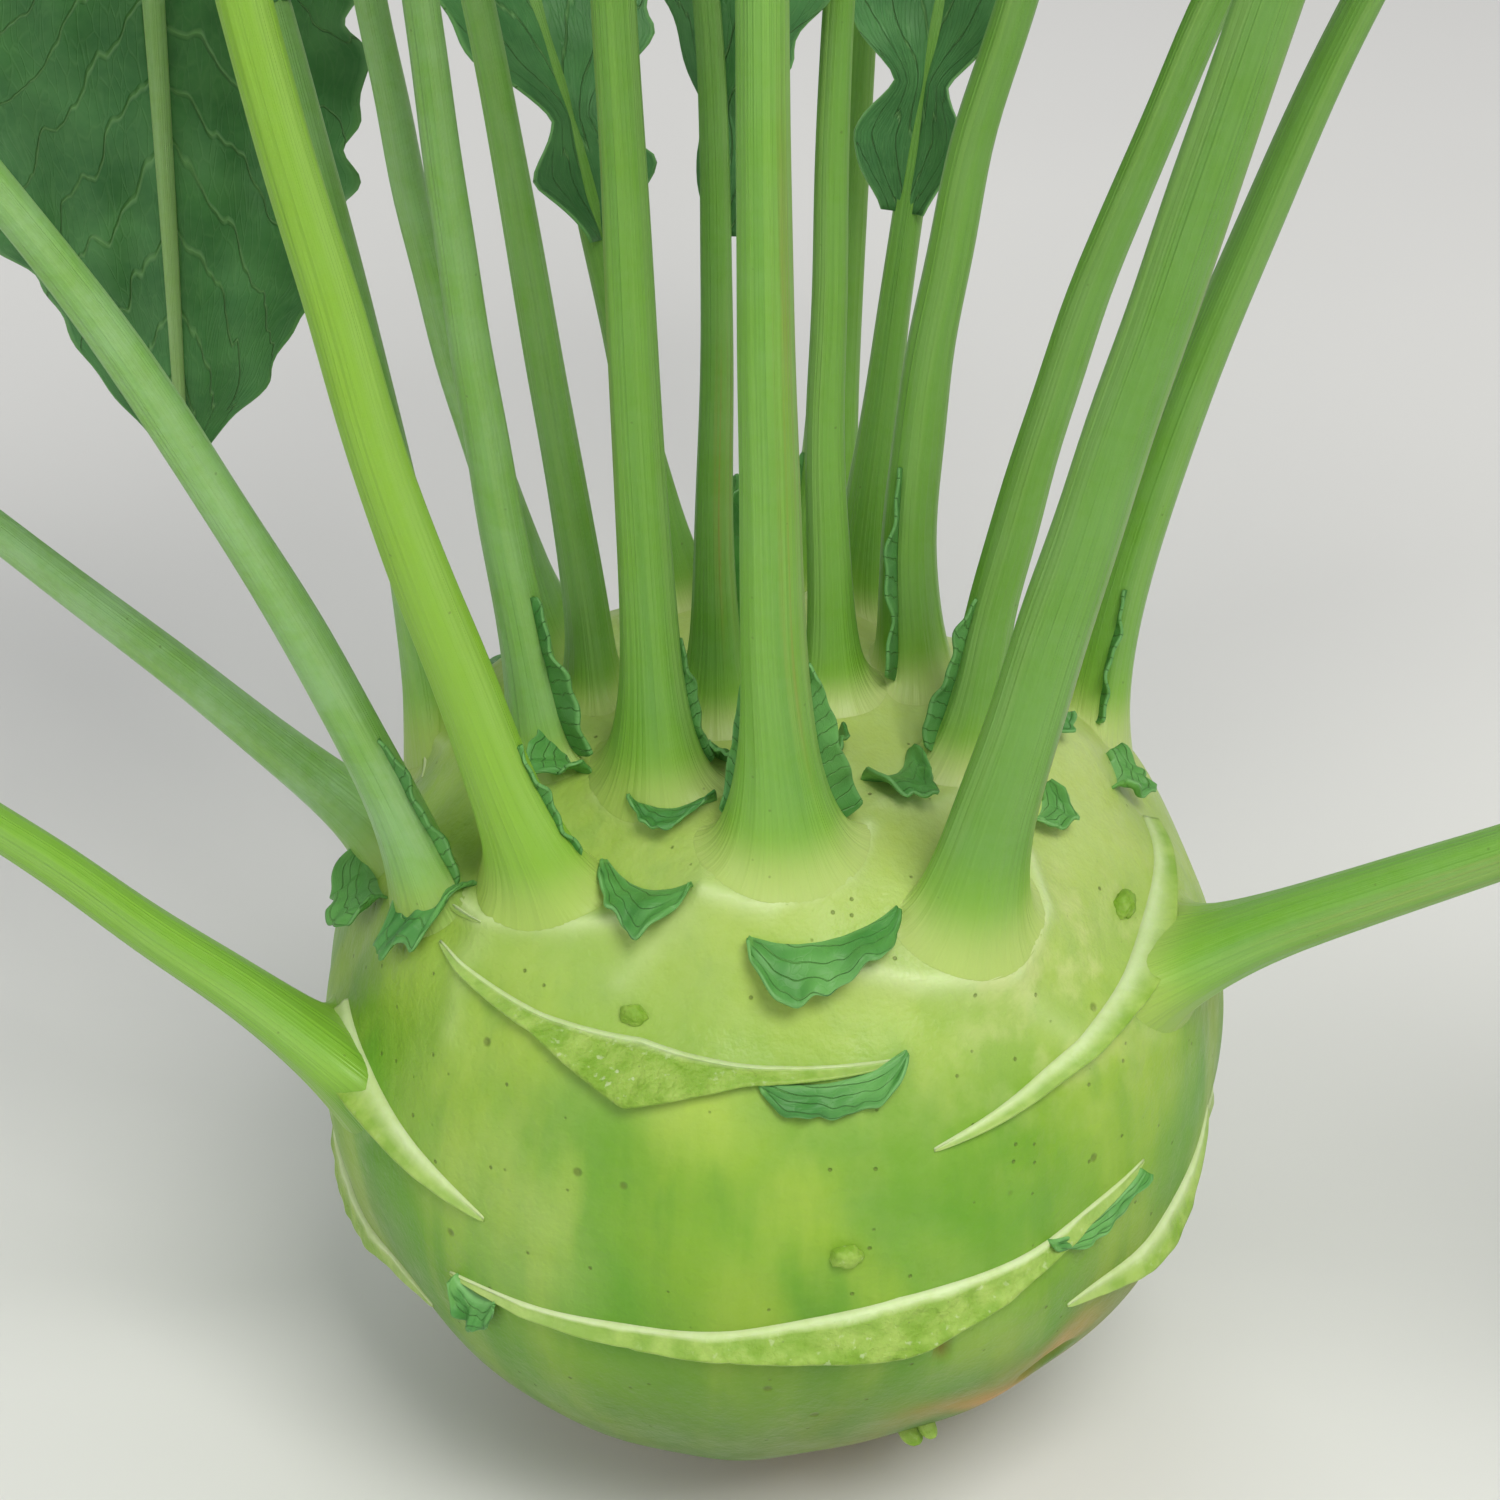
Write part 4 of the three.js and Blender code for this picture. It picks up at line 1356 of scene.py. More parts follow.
@dataclass(frozen=True)
class Leaf:
    """One leaf: a stalk that runs on as the midrib, and its blade. Angles are degrees.

    Attributes:
        azimuth: Where the stalk leaves the bulb, round it.
        latitude: Where it leaves the bulb, up it.
        heading: Compass heading of the stalk.
        rise: Slope at its base.
        bend: Change of slope in 100 mm of stalk.
        stalk: Length of the stalk in millimetres.
        blade: Length of the blade.
        width: Width of the blade.
        base: Width of the clasping base.
        girth: Thickness of the stalk.
        arch: Change of slope in 100 mm of blade.
        turn: Change of heading in 100 mm of blade.
        twist: How far the blade turns about its midrib.
        cup: How far the blade's edges lift, in half widths.
        yellow: Share of yellow in the stalk.
        bloom: Bluish bloom on the stalk.
        brown: Brown streak, from -1 for the left side to 1 for the right, or 0 for none.
        dim: Darker green.
    """

    azimuth: float
    latitude: float
    heading: float
    rise: float
    bend: float
    stalk: float
    blade: float
    width: float
    base: float
    girth: float
    arch: float
    turn: float
    twist: float
    cup: float
    yellow: float = 0.0
    bloom: float = 0.15
    brown: float = 0.0
    dim: float = 0.0

    STEEPEST_FALL = -86.0

    @property
    def length(self) -> float:
        """Returns the length of stalk and blade together."""
        return self.stalk + self.blade

    def headings(self, s: Array) -> tuple[Array, Array]:
        """Which way the leaf runs.

        Args:
            s: Distances from the base.

        Returns:
            Compass heading and slope, which change evenly along the stalk and along the blade.
        """
        on_blade = np.clip(s - self.stalk, 0.0, None)
        on_stalk = np.clip(s, 0.0, self.stalk)
        slope = self.rise + (self.bend * on_stalk + self.arch * on_blade) / 100.0
        return self.heading + self.turn * on_blade / 100.0, np.maximum(slope, self.STEEPEST_FALL)

    @staticmethod
    def direction(heading: Array, slope: Array) -> Array:
        """Returns unit vectors of a compass heading and a slope."""
        h, v = np.radians(heading), np.radians(slope)
        return np.stack([np.cos(v) * np.cos(h), np.cos(v) * np.sin(h), np.sin(v)], axis=-1)

    def line(self, bulb: Bulb, s: Array) -> tuple[Array, Array, Array]:
        """The leaf's line with its directions.

        Args:
            bulb: Bulb that it grows from.
            s: Distances from the base.

        Returns:
            Points, and unit vectors to the side and to the inner face. The points are the running sum
            of the direction. The side faces the bulb's azimuth at the base and the heading further on,
            turned about the line by the twist.
        """
        fine = np.linspace(-30.0, self.length, 1200)
        steps = np.diff(fine)
        middle = self.direction(*self.headings((fine[1:] + fine[:-1]) / 2.0)) * steps[:, None]
        run = np.concatenate([np.zeros((1, 3)), np.cumsum(middle, axis=0)])
        around, height = bulb.profile(np.array(self.latitude))
        turn = math.radians(self.azimuth)
        base = np.array([float(around) * math.cos(turn), float(around) * math.sin(turn), float(height)])
        normal = bulb.directions(np.array(self.azimuth), np.array(self.latitude))[0]
        base = base + normal * float(bulb.uneven(np.array(self.azimuth), np.array(self.latitude)))
        start = np.stack([np.interp(0.0, fine, run[:, k]) for k in range(3)])
        points = base + np.stack([np.interp(s, fine, run[:, k]) for k in range(3)], axis=-1) - start
        heading, slope = self.headings(s)
        ahead = self.direction(heading, slope)
        offset = float(wrap_degrees(self.azimuth - self.heading))
        facing = np.radians(heading + offset * (1.0 - smoothstep(s, 0.0, 70.0)))
        side = np.stack([-np.sin(facing), np.cos(facing), np.zeros_like(facing)], axis=-1)
        side = unit(side - (side * ahead).sum(axis=-1, keepdims=True) * ahead)
        angle = np.radians(self.twist * smoothstep(s, self.stalk * 0.8, self.length))[:, None]
        side = side * np.cos(angle) + np.cross(ahead, side) * np.sin(angle)
        return points, side, np.cross(ahead, side)

    def thickness(self, s: Array) -> Array:
        """Half the thickness of the stalk and midrib.

        Args:
            s: Distances from the base.

        Returns:
            Millimetres, falling by a power of 1.5 along the stalk and evenly along the midrib.
        """
        along = np.clip(s / self.stalk, 0.0, 1.0)
        on_blade = np.clip((s - self.stalk) / self.blade, 0.0, 1.0)
        top = self.girth * 0.3
        return top + (self.girth / 2.0 - top) * (1.0 - along) ** 1.5 + (1.6 - top) * on_blade


@dataclass(frozen=True)
class StalkForm:
    """Section and foot of a stalk: round outside, nearly flat with a shallow channel inside.

    Attributes:
        around: Points round the stalk.
        stations: Rings above the foot.
        foot_rings: Rings of the foot.
        foot_girths: Length of the foot, in thicknesses of the stalk.
        flatness: Depth of the inner half, as a share of the outer half.
        channel: Depth of the channel, as a share of the half thickness.
        base_share: Half width of the stalk at its base, as a share of the clasping base.
        base_depth: How much deeper the outer half is at the base.
        flare_length: Millimetres over which the base narrows to the stalk.
        fillet: Millimetres over which the foot turns into the skin.
        sunk: Millimetres that the last ring lies under the skin.
        fold: Where the flat coordinates fold, in half turns round the stalk.
        grain: Height of seeded lumps in millimetres.
    """

    around: int = 44
    stations: int = 76
    foot_rings: int = 22
    foot_girths: float = 2.3
    flatness: float = 0.84
    channel: float = 0.03
    base_share: float = 0.43
    base_depth: float = 0.42
    flare_length: float = 21.0
    fillet: float = 3.8
    sunk: float = 3.0
    fold: float = 0.28
    grain: float = 0.25

    def section(self, turn: Array) -> tuple[Array, Array]:
        """Outline of the stalk for a half thickness of 1.

        Args:
            turn: Angles round it, with the inner face at a quarter turn.

        Returns:
            Distance to the side, and distance to the inner face, which is flattened and has a
            channel shaped like a bell down its middle.
        """
        x = np.cos(turn)
        inner = np.sin(turn) > 0
        y = np.where(inner, self.flatness, 1.0) * np.sin(turn)
        ribs = 0.012 * np.sin(9 * turn + 0.5) + 0.01 * np.sin(15 * turn)
        channel = np.where(inner, self.channel * bell(x, 0.42), 0.0)
        return x * (1.0 + ribs), y * (1.0 + ribs) - channel

    def footprint(self, leaf: Leaf, bulb: Bulb, turn: Array) -> tuple[Array, Array, Array]:
        """Where the stalk's surface leaves the bulb.

        Args:
            leaf: The leaf.
            bulb: The bulb.
            turn: Angles round the stalk.

        Returns:
            Points on the bulb's skin, unit vectors along the skin towards the stalk, and the normals.
        """
        half = self.base_share * leaf.base + 6.5
        outer, inner = 0.6 * leaf.girth + 7.0, 0.35 * leaf.girth + 3.0
        x = half * np.cos(turn)
        y = np.where(np.sin(turn) > 0, inner, outer) * np.sin(turn) + 0.12 * x * x / half
        az0, lat0 = np.array(leaf.azimuth), np.array(leaf.latitude)
        _, side, above = bulb.directions(az0, lat0)
        middle = bulb.skin(az0, lat0)
        flat = middle + x[:, None] * side + y[:, None] * above
        az, lat = bulb.locate(flat)
        points = bulb.skin(az, lat)
        normals = bulb.directions(az, lat)[0]
        towards = middle - points
        towards = unit(towards - (towards * normals).sum(axis=-1, keepdims=True) * normals)
        return points, towards, normals

    def build(self, number: int, leaf: Leaf, bulb: Bulb) -> bpy.types.Object:
        """Builds a stalk with its midrib.

        Args:
            number: Number of the leaf.
            leaf: The leaf.
            bulb: Bulb that it grows from.

        Returns:
            The piece.
        """
        turn = np.arange(self.around) * 2.0 * math.pi / self.around
        foot_length = self.foot_girths * leaf.girth
        low = foot_length * np.linspace(0.0, 1.0, self.foot_rings + 1)[:-1] ** 1.9
        high = np.linspace(foot_length, leaf.stalk + 0.985 * leaf.blade, self.stations)
        s = np.concatenate([low, high])
        points, side, inner = leaf.line(bulb, s)
        radius = leaf.thickness(s)
        flare = np.exp(-((s / self.flare_length) ** 1.3))
        x, y = self.section(turn)
        wide = radius + (self.base_share * leaf.base - radius) * flare
        deep = radius[:, None] * (1.0 + self.base_depth * flare[:, None] * (np.sin(turn) < 0))
        grid = sweep(points, side, inner, wide[:, None] * x, deep * y)
        lumps = self.grain * Ripples(50 + number, 60.0).at(grid)
        grid = grid + lumps[..., None] * inner[:, None]
        skin, towards, normals = self.footprint(leaf, bulb, turn)
        share = 0.3 * np.clip(1.0 - s / foot_length, 0.0, 1.0) ** 3 + 0.7 * np.exp(-s / self.fillet)
        grid = grid + (skin - grid[0]) * share[:, None, None]
        under = skin - towards * 0.5 - normals * self.sunk
        grid = np.concatenate([under[None], grid])
        travelled = np.concatenate([[-2.0], s])
        below = bulb.values(*bulb.locate(skin))
        return self.finish(number, leaf, turn, travelled, grid, below)

    def finish(
        self, number: int, leaf: Leaf, turn: Array, travelled: Array, grid: Array, below: dict[str, Array]
    ) -> bpy.types.Object:
        """Gives a stalk its colour masks and makes the piece.

        Args:
            number: Number of the leaf.
            leaf: The leaf.
            turn: Angles round the stalk.
            travelled: Distance of each ring from the base.
            grid: The rings.
            below: Colour masks of the bulb round the foot.

        Returns:
            The piece.
        """
        s = travelled[:, None] + 0.0 * turn
        angle = turn + 0.0 * travelled[:, None]
        foot = 1.0 - smoothstep(s, 0.0, 1.6 * leaf.girth)
        on_blade = smoothstep(s, leaf.stalk * 0.97, leaf.length)
        edge = math.copysign(1.0, leaf.brown) if leaf.brown else 0.0
        streak = abs(leaf.brown) * bell(np.cos(angle) - 0.8 * edge, 0.3) * (np.sin(angle) < 0.35)
        streak = streak * smoothstep(s, 10.0, 60.0) * (1.0 - smoothstep(s, 0.6 * leaf.stalk, leaf.stalk))
        # Painted highlight: a faint pale line along the stalk's two side edges, above the foot.
        painted_edge_highlight = 0.1 * bell(np.abs(np.cos(angle)) - 0.98, 0.05) * (1.0 - foot)
        values = {
            "foot": foot,
            "yellow": np.full_like(s, leaf.yellow),
            "bloom": leaf.bloom * (1.0 - 0.7 * foot),
            "brown": streak,
            "dim": leaf.dim * (1.0 - foot),
            "pale": np.clip(painted_edge_highlight + 0.35 * on_blade, 0.0, 1.0),
            "joined": 1.0 - smoothstep(s, 0.4, 0.85 * leaf.girth),
            # The bulb's colour masks under the foot, with their painted shade and painted highlight.
            "cream": below["cream"] + 0.0 * s,
            "deep": below["deep"] + 0.0 * s,
        }
        round_it = 0.5 * np.abs((angle / math.pi - self.fold) % 2.0 - 1.0)
        plan = np.stack([round_it, s * METRES], axis=-1)
        surface = Surface()
        surface.add_grid(grid, values, plan, closed=True, capped=True)
        return dress(surface.build(f"stalk_{number:02d}", STALK), Slot.STALK, f"leaf_{number:02d}_stalk")


@dataclass(frozen=True)
class BladeForm:
    """The blade: a waved, toothed sheet with small lobes at its foot, on the inner side of the midrib.

    Attributes:
        along: Points along the blade.
        across: Points across it.
        wall: Thickness in millimetres.
        stations: Shares of the length at which the outline is given.
        outline: Half widths there, as shares of the greatest one.
        edge_wave: Height of the broad waves at the edge, in half widths.
        puff: Height of the seeded lumps in millimetres.
    """

    along: int = 110
    across: int = 45
    wall: float = 0.8
    stations: tuple[float, ...] = (0, 0.07, 0.13, 0.2, 0.32, 0.45, 0.58, 0.72, 0.87, 1)
    outline: tuple[float, ...] = (0.12, 0.34, 0.15, 0.52, 0.88, 1, 0.96, 0.84, 0.52, 0.1)
    edge_wave: float = 0.1
    puff: float = 0.9

    def half_width(self, v: Array) -> Array:
        """Half width of the blade.

        Args:
            v: Shares of the length.

        Returns:
            Shares of the greatest half width, half eased by smooth steps between the stations.
        """
        stations, outline = np.array(self.stations), np.array(self.outline)
        row = np.clip(np.searchsorted(stations, v, side="right") - 1, 0, len(stations) - 2)
        share = (v - stations[row]) / (stations[row + 1] - stations[row])
        eased = 0.5 * share + 0.5 * share * share * (3.0 - 2.0 * share)
        return outline[row] + (outline[row + 1] - outline[row]) * eased

    def waves(self, v: Array, u: Array, phase: Array) -> Array:
        """Waves of the sheet, which grow towards its edges.

        Args:
            v: Share of the length.
            u: Place across the blade, from -1 to 1.
            phase: Angles at which the fine waves start.

        Returns:
            Height in half widths: a cosine that turns at each station of the outline, opposite on the
            two sides, plus two finer sine waves.
        """
        edge, way = np.abs(u), np.sign(u)
        station = np.interp(v, self.stations, np.arange(len(self.stations)))
        broad = self.edge_wave * np.cos(math.pi * station) * way * u * u
        fine = 0.05 * np.sin(34 * v + phase[2] + 1.5 * way) * edge ** 3
        return broad + fine + 0.028 * np.sin(61 * v + phase[3] - way) * edge ** 4

    def build(self, number: int, leaf: Leaf, bulb: Bulb, form: StalkForm) -> bpy.types.Object:
        """Builds a blade.

        Across the blade the sheet lifts by its cup and by its waves, and has a crease over the midrib.
        Teeth cut the edge.

        Args:
            number: Number of the leaf.
            leaf: The leaf.
            bulb: Bulb that it grows from.
            form: Section of the stalk that it sits on.

        Returns:
            The piece.
        """
        draw = np.random.default_rng(700 + number)
        phase = draw.uniform(0.0, 6.28, 8)
        v = np.linspace(0.0, 1.0, self.along)[:, None]
        u = np.linspace(-1.0, 1.0, self.across)
        s = leaf.stalk + v[:, 0] * leaf.blade
        points, side, inner = leaf.line(bulb, s)
        thick = leaf.thickness(s)[:, None]
        edge = np.abs(u)
        teeth = 0.045 * np.sin(48 * v + phase[0] + u * 2) + 0.03 * np.sin(97 * v + phase[1] - u)
        half = leaf.width / 2.0 * self.half_width(v) * (1.0 + teeth * edge ** 4)
        crease = -0.35 * thick * bell(u, 0.12)
        cup = leaf.cup * edge ** 1.5
        lift = thick * form.flatness + crease + half * (cup + self.waves(v, u, phase))
        flat = sweep(points, side, inner, half * u, 0.0 * half)
        lift = lift + self.puff * Ripples(900 + number, 22.0).at(flat) * np.minimum(edge * 3.0, 1.0)
        grid = sweep(points, side, inner, half * u, lift)
        rim = smoothstep(edge, 0.965, 1.0) * np.ones_like(half)
        plan = np.stack(np.broadcast_arrays(u, v), axis=-1)
        surface = Surface()
        surface.add_grid(grid, {"edge": rim * 0.8}, plan)
        piece = surface.build(f"blade_{number:02d}", BLADE, self.wall)
        return dress(piece, Slot.BLADE, f"leaf_{number:02d}_blade")


@dataclass(frozen=True)
class Wing:
    """A narrow dark frill along one edge of a stalk's foot, continuing the leaf.

    Attributes:
        leaf: Number of the leaf.
        side: 1 or -1, the edge that it grows on.
        start: Distance from the base where it starts.
        end: Distance where it ends.
        width: Its greatest width in millimetres.
        seed: Seed of its waves.
    """

    leaf: int
    side: int
    start: float
    end: float
    width: float
    seed: int

    # Points along and across it, and the share of its width that is buried in the stalk.
    STATIONS = 60
    COLUMNS = 9
    ROOT = -0.15

    def add_to(self, surface: Surface, leaf: Leaf, bulb: Bulb) -> None:
        """Adds the wing: along the stalk's inner corner by outwards, waved and running out upwards.

        Args:
            surface: Mesh that takes it.
            leaf: Leaf that it grows on.
            bulb: Bulb that the leaf grows from.
        """
        draw = np.random.default_rng(self.seed)
        phase = draw.uniform(0.0, 6.28, 4)
        share = np.linspace(0.0, 1.0, self.STATIONS)[:, None]
        s = self.start + (self.end - self.start) * share
        points, side, inner = leaf.line(bulb, s[:, 0])
        radius = leaf.thickness(s)
        base = 1.0 + 0.5 * np.exp(-np.clip(s, 0.0, None) / 18.0)
        out = np.linspace(self.ROOT, 1.0, self.COLUMNS)
        ends = (1.0 - share) ** 0.7 * smoothstep(share, -0.02, 0.12)
        width = self.width * ends * (1.0 + 0.06 * np.sin(23 * share + phase[0])) + 0.6
        wave = 0.9 * np.sin(13 * share + phase[1]) + 0.4 * np.sin(31 * share + phase[2])
        lift = 0.28 * radius + 0.35 * out * width + wave * np.clip(out, 0.0, None)
        grid = sweep(points, side, inner, self.side * (0.93 * radius * base + out * width), lift)
        plan = np.stack(np.broadcast_arrays(out * 0.5, share * 2.0), axis=-1)
        surface.add_grid(grid, {"edge": smoothstep(out, 0.9, 1.0) * 0.6 + 0.0 * lift}, plan)


# Growing point and buds


@dataclass(frozen=True)
class Heart:
    """The growing point: short crinkled leaves wrapped round a bud.

    Attributes:
        azimuth: Degrees round the bulb.
        latitude: Degrees up the bulb.
        leaves: How many there are.
        radius: Radius of the innermost in millimetres.
        spacing: How much further out each next one stands.
        length: Millimetres that a leaf's length of 1 stands for.
        wrap: Degrees that each reaches round the bud to either side.
        outline: Widths of a leaf, as shares of the greatest one.
        stations: Shares of the length at which the widths are given.
    """

    azimuth: float = 95.0
    latitude: float = 83.0
    leaves: int = 3
    radius: float = 5.0
    spacing: float = 2.1
    length: float = 50.0
    wrap: float = 62.0
    outline: tuple[float, ...] = (0.7, 0.85, 1.0, 0.7, 0.15)
    stations: tuple[float, ...] = (-0.08, 0.25, 0.6, 0.88, 1.0)

    GOLDEN_ANGLE = 137.5

    def build(self, bulb: Bulb) -> bpy.types.Object:
        """Builds the heart.

        Each leaf is a grid up its length by round the bud, at a radius that grows with the height,
        crinkled by sine waves.

        Args:
            bulb: Bulb that it grows from.

        Returns:
            The piece.
        """
        root = bulb.skin(np.array(self.azimuth), np.array(self.latitude))
        surface = Surface()
        t = np.linspace(self.stations[0], 1.0, 40)[:, None]
        across = np.linspace(-1.0, 1.0, 31)
        wide = np.interp(t, self.stations, self.outline)
        plan = np.stack(np.broadcast_arrays(across, t), axis=-1)
        values = {"edge": smoothstep(np.abs(across), 0.9, 1.0) * 0.8 + 0.0 * t}
        for number in range(self.leaves):
            turn = np.radians(self.GOLDEN_ANGLE * number + self.wrap * wide * across)
            frill = 0.7 * np.sin(15 * t + 2 * number + 3 * across) * across ** 2
            around = self.radius + self.spacing * number + 3 * t ** 2 + frill
            height = self.length * (0.64 + 0.18 * number) * t
            surface.add_grid(root + around_z(turn, around, height), values, plan)
        return dress(surface.build("heart_leaves", EAR, 0.9), Slot.BLADE, "heart")


@dataclass(frozen=True)
class Bud:
    """A small bud in the angle above a scar.

    Attributes:
        azimuth: Degrees round the bulb.
        latitude: Degrees up the bulb.
        radius: Radius in millimetres.
        height: How far it stands out in millimetres.
        seed: Seed of its lumps.
    """

    azimuth: float
    latitude: float
    radius: float
    height: float
    seed: int

    ROWS = 14
    COLUMNS = 28

    def add_to(self, surface: Surface, bulb: Bulb) -> None:
        """Adds the bud: a lumpy dome, which is a half ellipse turned about the skin's normal.

        Args:
            surface: Mesh that takes it.
            bulb: Bulb that it sits on.
        """
        middle = bulb.skin(np.array(self.azimuth), np.array(self.latitude))
        normal, side, up = bulb.directions(np.array(self.azimuth), np.array(self.latitude))
        rise = np.linspace(-0.25, 0.97, self.ROWS)[:, None]
        turn = np.arange(self.COLUMNS)[None, :] * 2.0 * math.pi / self.COLUMNS
        around = self.radius * np.sqrt(1.0 - np.clip(rise, 0.0, 1.0) ** 2)
        lumps = 1.0 + 0.07 * np.sin(5 * turn + self.seed) + 0.05 * np.sin(9 * turn + 3 * rise + 2 * self.seed)
        lean = up * 0.35 * self.height
        grid = middle + (around * lumps * np.cos(turn))[..., None] * side
        grid = grid + (around * lumps * np.sin(turn) * 0.75)[..., None] * up
        grid = grid + (rise * self.height + 0.0 * turn)[..., None] * normal + (rise ** 2)[..., None] * lean
        blank = 0.0 * rise * turn
        values = {"wax": blank, "rough": blank + 0.5, "brown": blank}
        surface.add_grid(grid, values, closed=True, capped=True)


# The whole plant

STALKS = StalkForm()
BLADES = BladeForm()

LEAVES = (
    Leaf(-155, 14, -160, 48, 0, 175, 200, 120, 44, 16, -14, 0, 0, 0.12, yellow=0.25, bloom=0.1),
    Leaf(-23, 29, -21, 33, 0, 185, 205, 120, 46, 18, -14, 0, 0, 0.12, brown=-0.3, dim=0.2),
    Leaf(-176, 38, 178, 43, -0.6, 200, 215, 125, 28, 14, -12, 0, 0, 0.12, bloom=0.7),
    Leaf(-153, 43, -148, 72, -5.4, 270, 240, 140, 30, 15, -14, 0, 0, 0.14, bloom=0.55),
    Leaf(160, 44, 122, 72, -6, 190, 250, 116, 30, 14, -138, 6, 45, 0.14, bloom=0.4),
    Leaf(23, 45, 18, 78, -6.4, 250, 250, 145, 32, 16, -18, 0, 0, 0.14, dim=0.3),
    Leaf(80, 50, 82, 68, -3, 240, 250, 150, 34, 16, -18, 0, 0, 0.14),
    Leaf(-56, 50, -57, 73, -0.8, 300, 260, 159, 35, 20, -16, 0, -1, 0.15, dim=0.45, brown=0.5),
    Leaf(-133, 53, -135, 69, 4.3, 301, 255, 148, 34, 17, -21, 6, 1, 0.14, yellow=0.6, bloom=0.08),
    Leaf(150, 62, 164, 70, 7.3, 236, 245, 135, 28, 13, -25, -6, -2, 0.2, bloom=0.5),
    Leaf(-87, 62, -104, 80, 4, 227, 260, 152, 34, 17, -29, 5, 1, 0.19, brown=0.35, dim=0.1),
    Leaf(-159, 65, -160, 81, 2.6, 233, 245, 86, 26, 14, -34, -6, 3, 0.23, bloom=0.4, brown=-0.5),
    Leaf(-27, 68, -27, 82, -6.6, 258, 250, 138, 28, 14, -14, -4, -2, 0.15, dim=0.3),
    Leaf(-123, 70, -120, 86, 0.5, 246, 250, 117, 30, 15, -21, 13, 0, 0.18, brown=-0.4),
    Leaf(120, 70, 124, 70, -3, 99, 240, 96, 26, 13, -18, 0, 8, 0.3, dim=0.3),
    Leaf(60, 72, 64, 76, -3, 106, 245, 92, 26, 13, -16, 1, -1, 0.3, dim=0.3),
    Leaf(-178, 73, 182, 84, -1.4, 290, 225, 77, 23, 12, -16, -20, -7, 0.25, bloom=0.3),
    Leaf(5, 77, -12, 92, -10, 221, 225, 111, 26, 16, -16, -2, -2, 0.24, dim=0.15),
    Leaf(-125, 82, -125, 90, 0.8, 122, 210, 66, 20, 12, -15, -3, 2, 0.34, dim=0.5, brown=0.5),
    Leaf(-30, 84, -30, 93, -3.3, 199, 190, 74, 19, 12, -17, 9, 2, 0.3),
)

# Leaves 3 to 5, whose feet run on round the bulb as rims.
RIMMED = LEAVES[2:5]

LIPS = (
    Lip(-107, 34.5, 35, 2, -2, 5, 4, sag=8, sag_at=0.0, rough=0.9),
    Lip(-84, 0.5, 45, 3, 5, 6.5, 4.5, sag=6, sag_at=0.2, rough=0.75),
    Lip(-33, -7, 19, 3, 3, 7, 4, rough=0.3),
    Lip(-148, 16, 24, -1, -6, 7, 5, rough=0.2, start=-0.5),
    Lip(-30, 32, 40, 0, 9, 5.5, 5, rough=0.1, end=0.72),
    Lip(60, 22, 40, 3, -4, 10, 5, sag=5, sag_at=0.1, rough=0.8),
    Lip(146, 24, 38, 3, 4, 10, 5, sag=6, sag_at=-0.1, rough=0.8),
    Lip(22, -12, 34, 3, -3, 9, 4, sag=4, rough=0.6),
    Lip(112, -6, 40, 3, 3, 10, 5, sag=5, sag_at=0.15, rough=0.7),
    Lip(-168, -14, 32, 3, -3, 9, 4, sag=3, rough=0.5),
)

EARS = (
    Ear((-91, 33.4), (-72, 35.5), 8.5, 1.5, 0.5, 3),
    Ear((-128, -1), (-122, -2), 9, 3, 0.5, 4),
    Ear((-56, 6), (-40, 8), 4, 2, 0.4, 5),
    Ear((-123, 65), (-103, 67.5), 6, 4, 0.55, 6),
    Ear((-63, 70), (-44, 71), 11, 6, 0.35, 7),
    Ear((-122, 57), (-103, 55.5), 11, 5, 0.6, 8),
    Ear((-93, 50), (-69, 52), 13, 6, 0.35, 9),
    Ear((-153, 44), (-142, 47), 22, 4, 0.45, 10),
    Ear((-172, 37), (-160, 36), 14, 7, 0.5, 11),
    Ear((-33, 56), (-22, 57), 7, 5, 0.5, 12),
    Ear((-5, 47), (6, 47), 8, 5, 0.5, 13),
    Ear((38, 47), (52, 48), 10, 6, 0.5, 14),
    Ear((97, 51), (110, 50), 10, 6, 0.5, 15),
    Ear((131, 46), (145, 46), 10, 6, 0.5, 16),
    Ear((84, 24), (98, 24), 8, 5, 0.5, 17),
    Ear((109, 25), (123, 26), 8, 5, 0.5, 18),
    Ear((-152, 68), (-138, 66), 9, 8, 0.4, 19),
    Ear((-112, 75), (-94, 76), 6, 8, 0.6, 20),
    Ear((-80, 76), (-60, 77), 7, 8, 0.4, 21),
    Ear((-14, 63), (-2, 62), 7, 6, 0.5, 23),
    Ear((-140, 57), (-134, 58), 8, 6, 0.5, 24),
)

BUDS = (
    Bud(-109, 39.5, 3.4, 3.2, 1),
    Bud(-81, 11, 4.0, 3.4, 2),
    Bud(-25, 38.5, 4.4, 3.4, 3),
    Bud(60, 29, 4.0, 4.0, 4),
    Bud(146, 31, 4.0, 4.0, 5),
    Bud(112, 2, 4.0, 4.0, 6),
    Bud(-66, -38, 3.2, 4.5, 7),
    Bud(-64, -36, 2.4, 4.0, 8),
)

NOTCHES = (
    Notch(-50, -22, 7.5, 4.5, 5.5),
    Notch(-69.5, -5.0, 1.5, 5.5, 3.6),
)

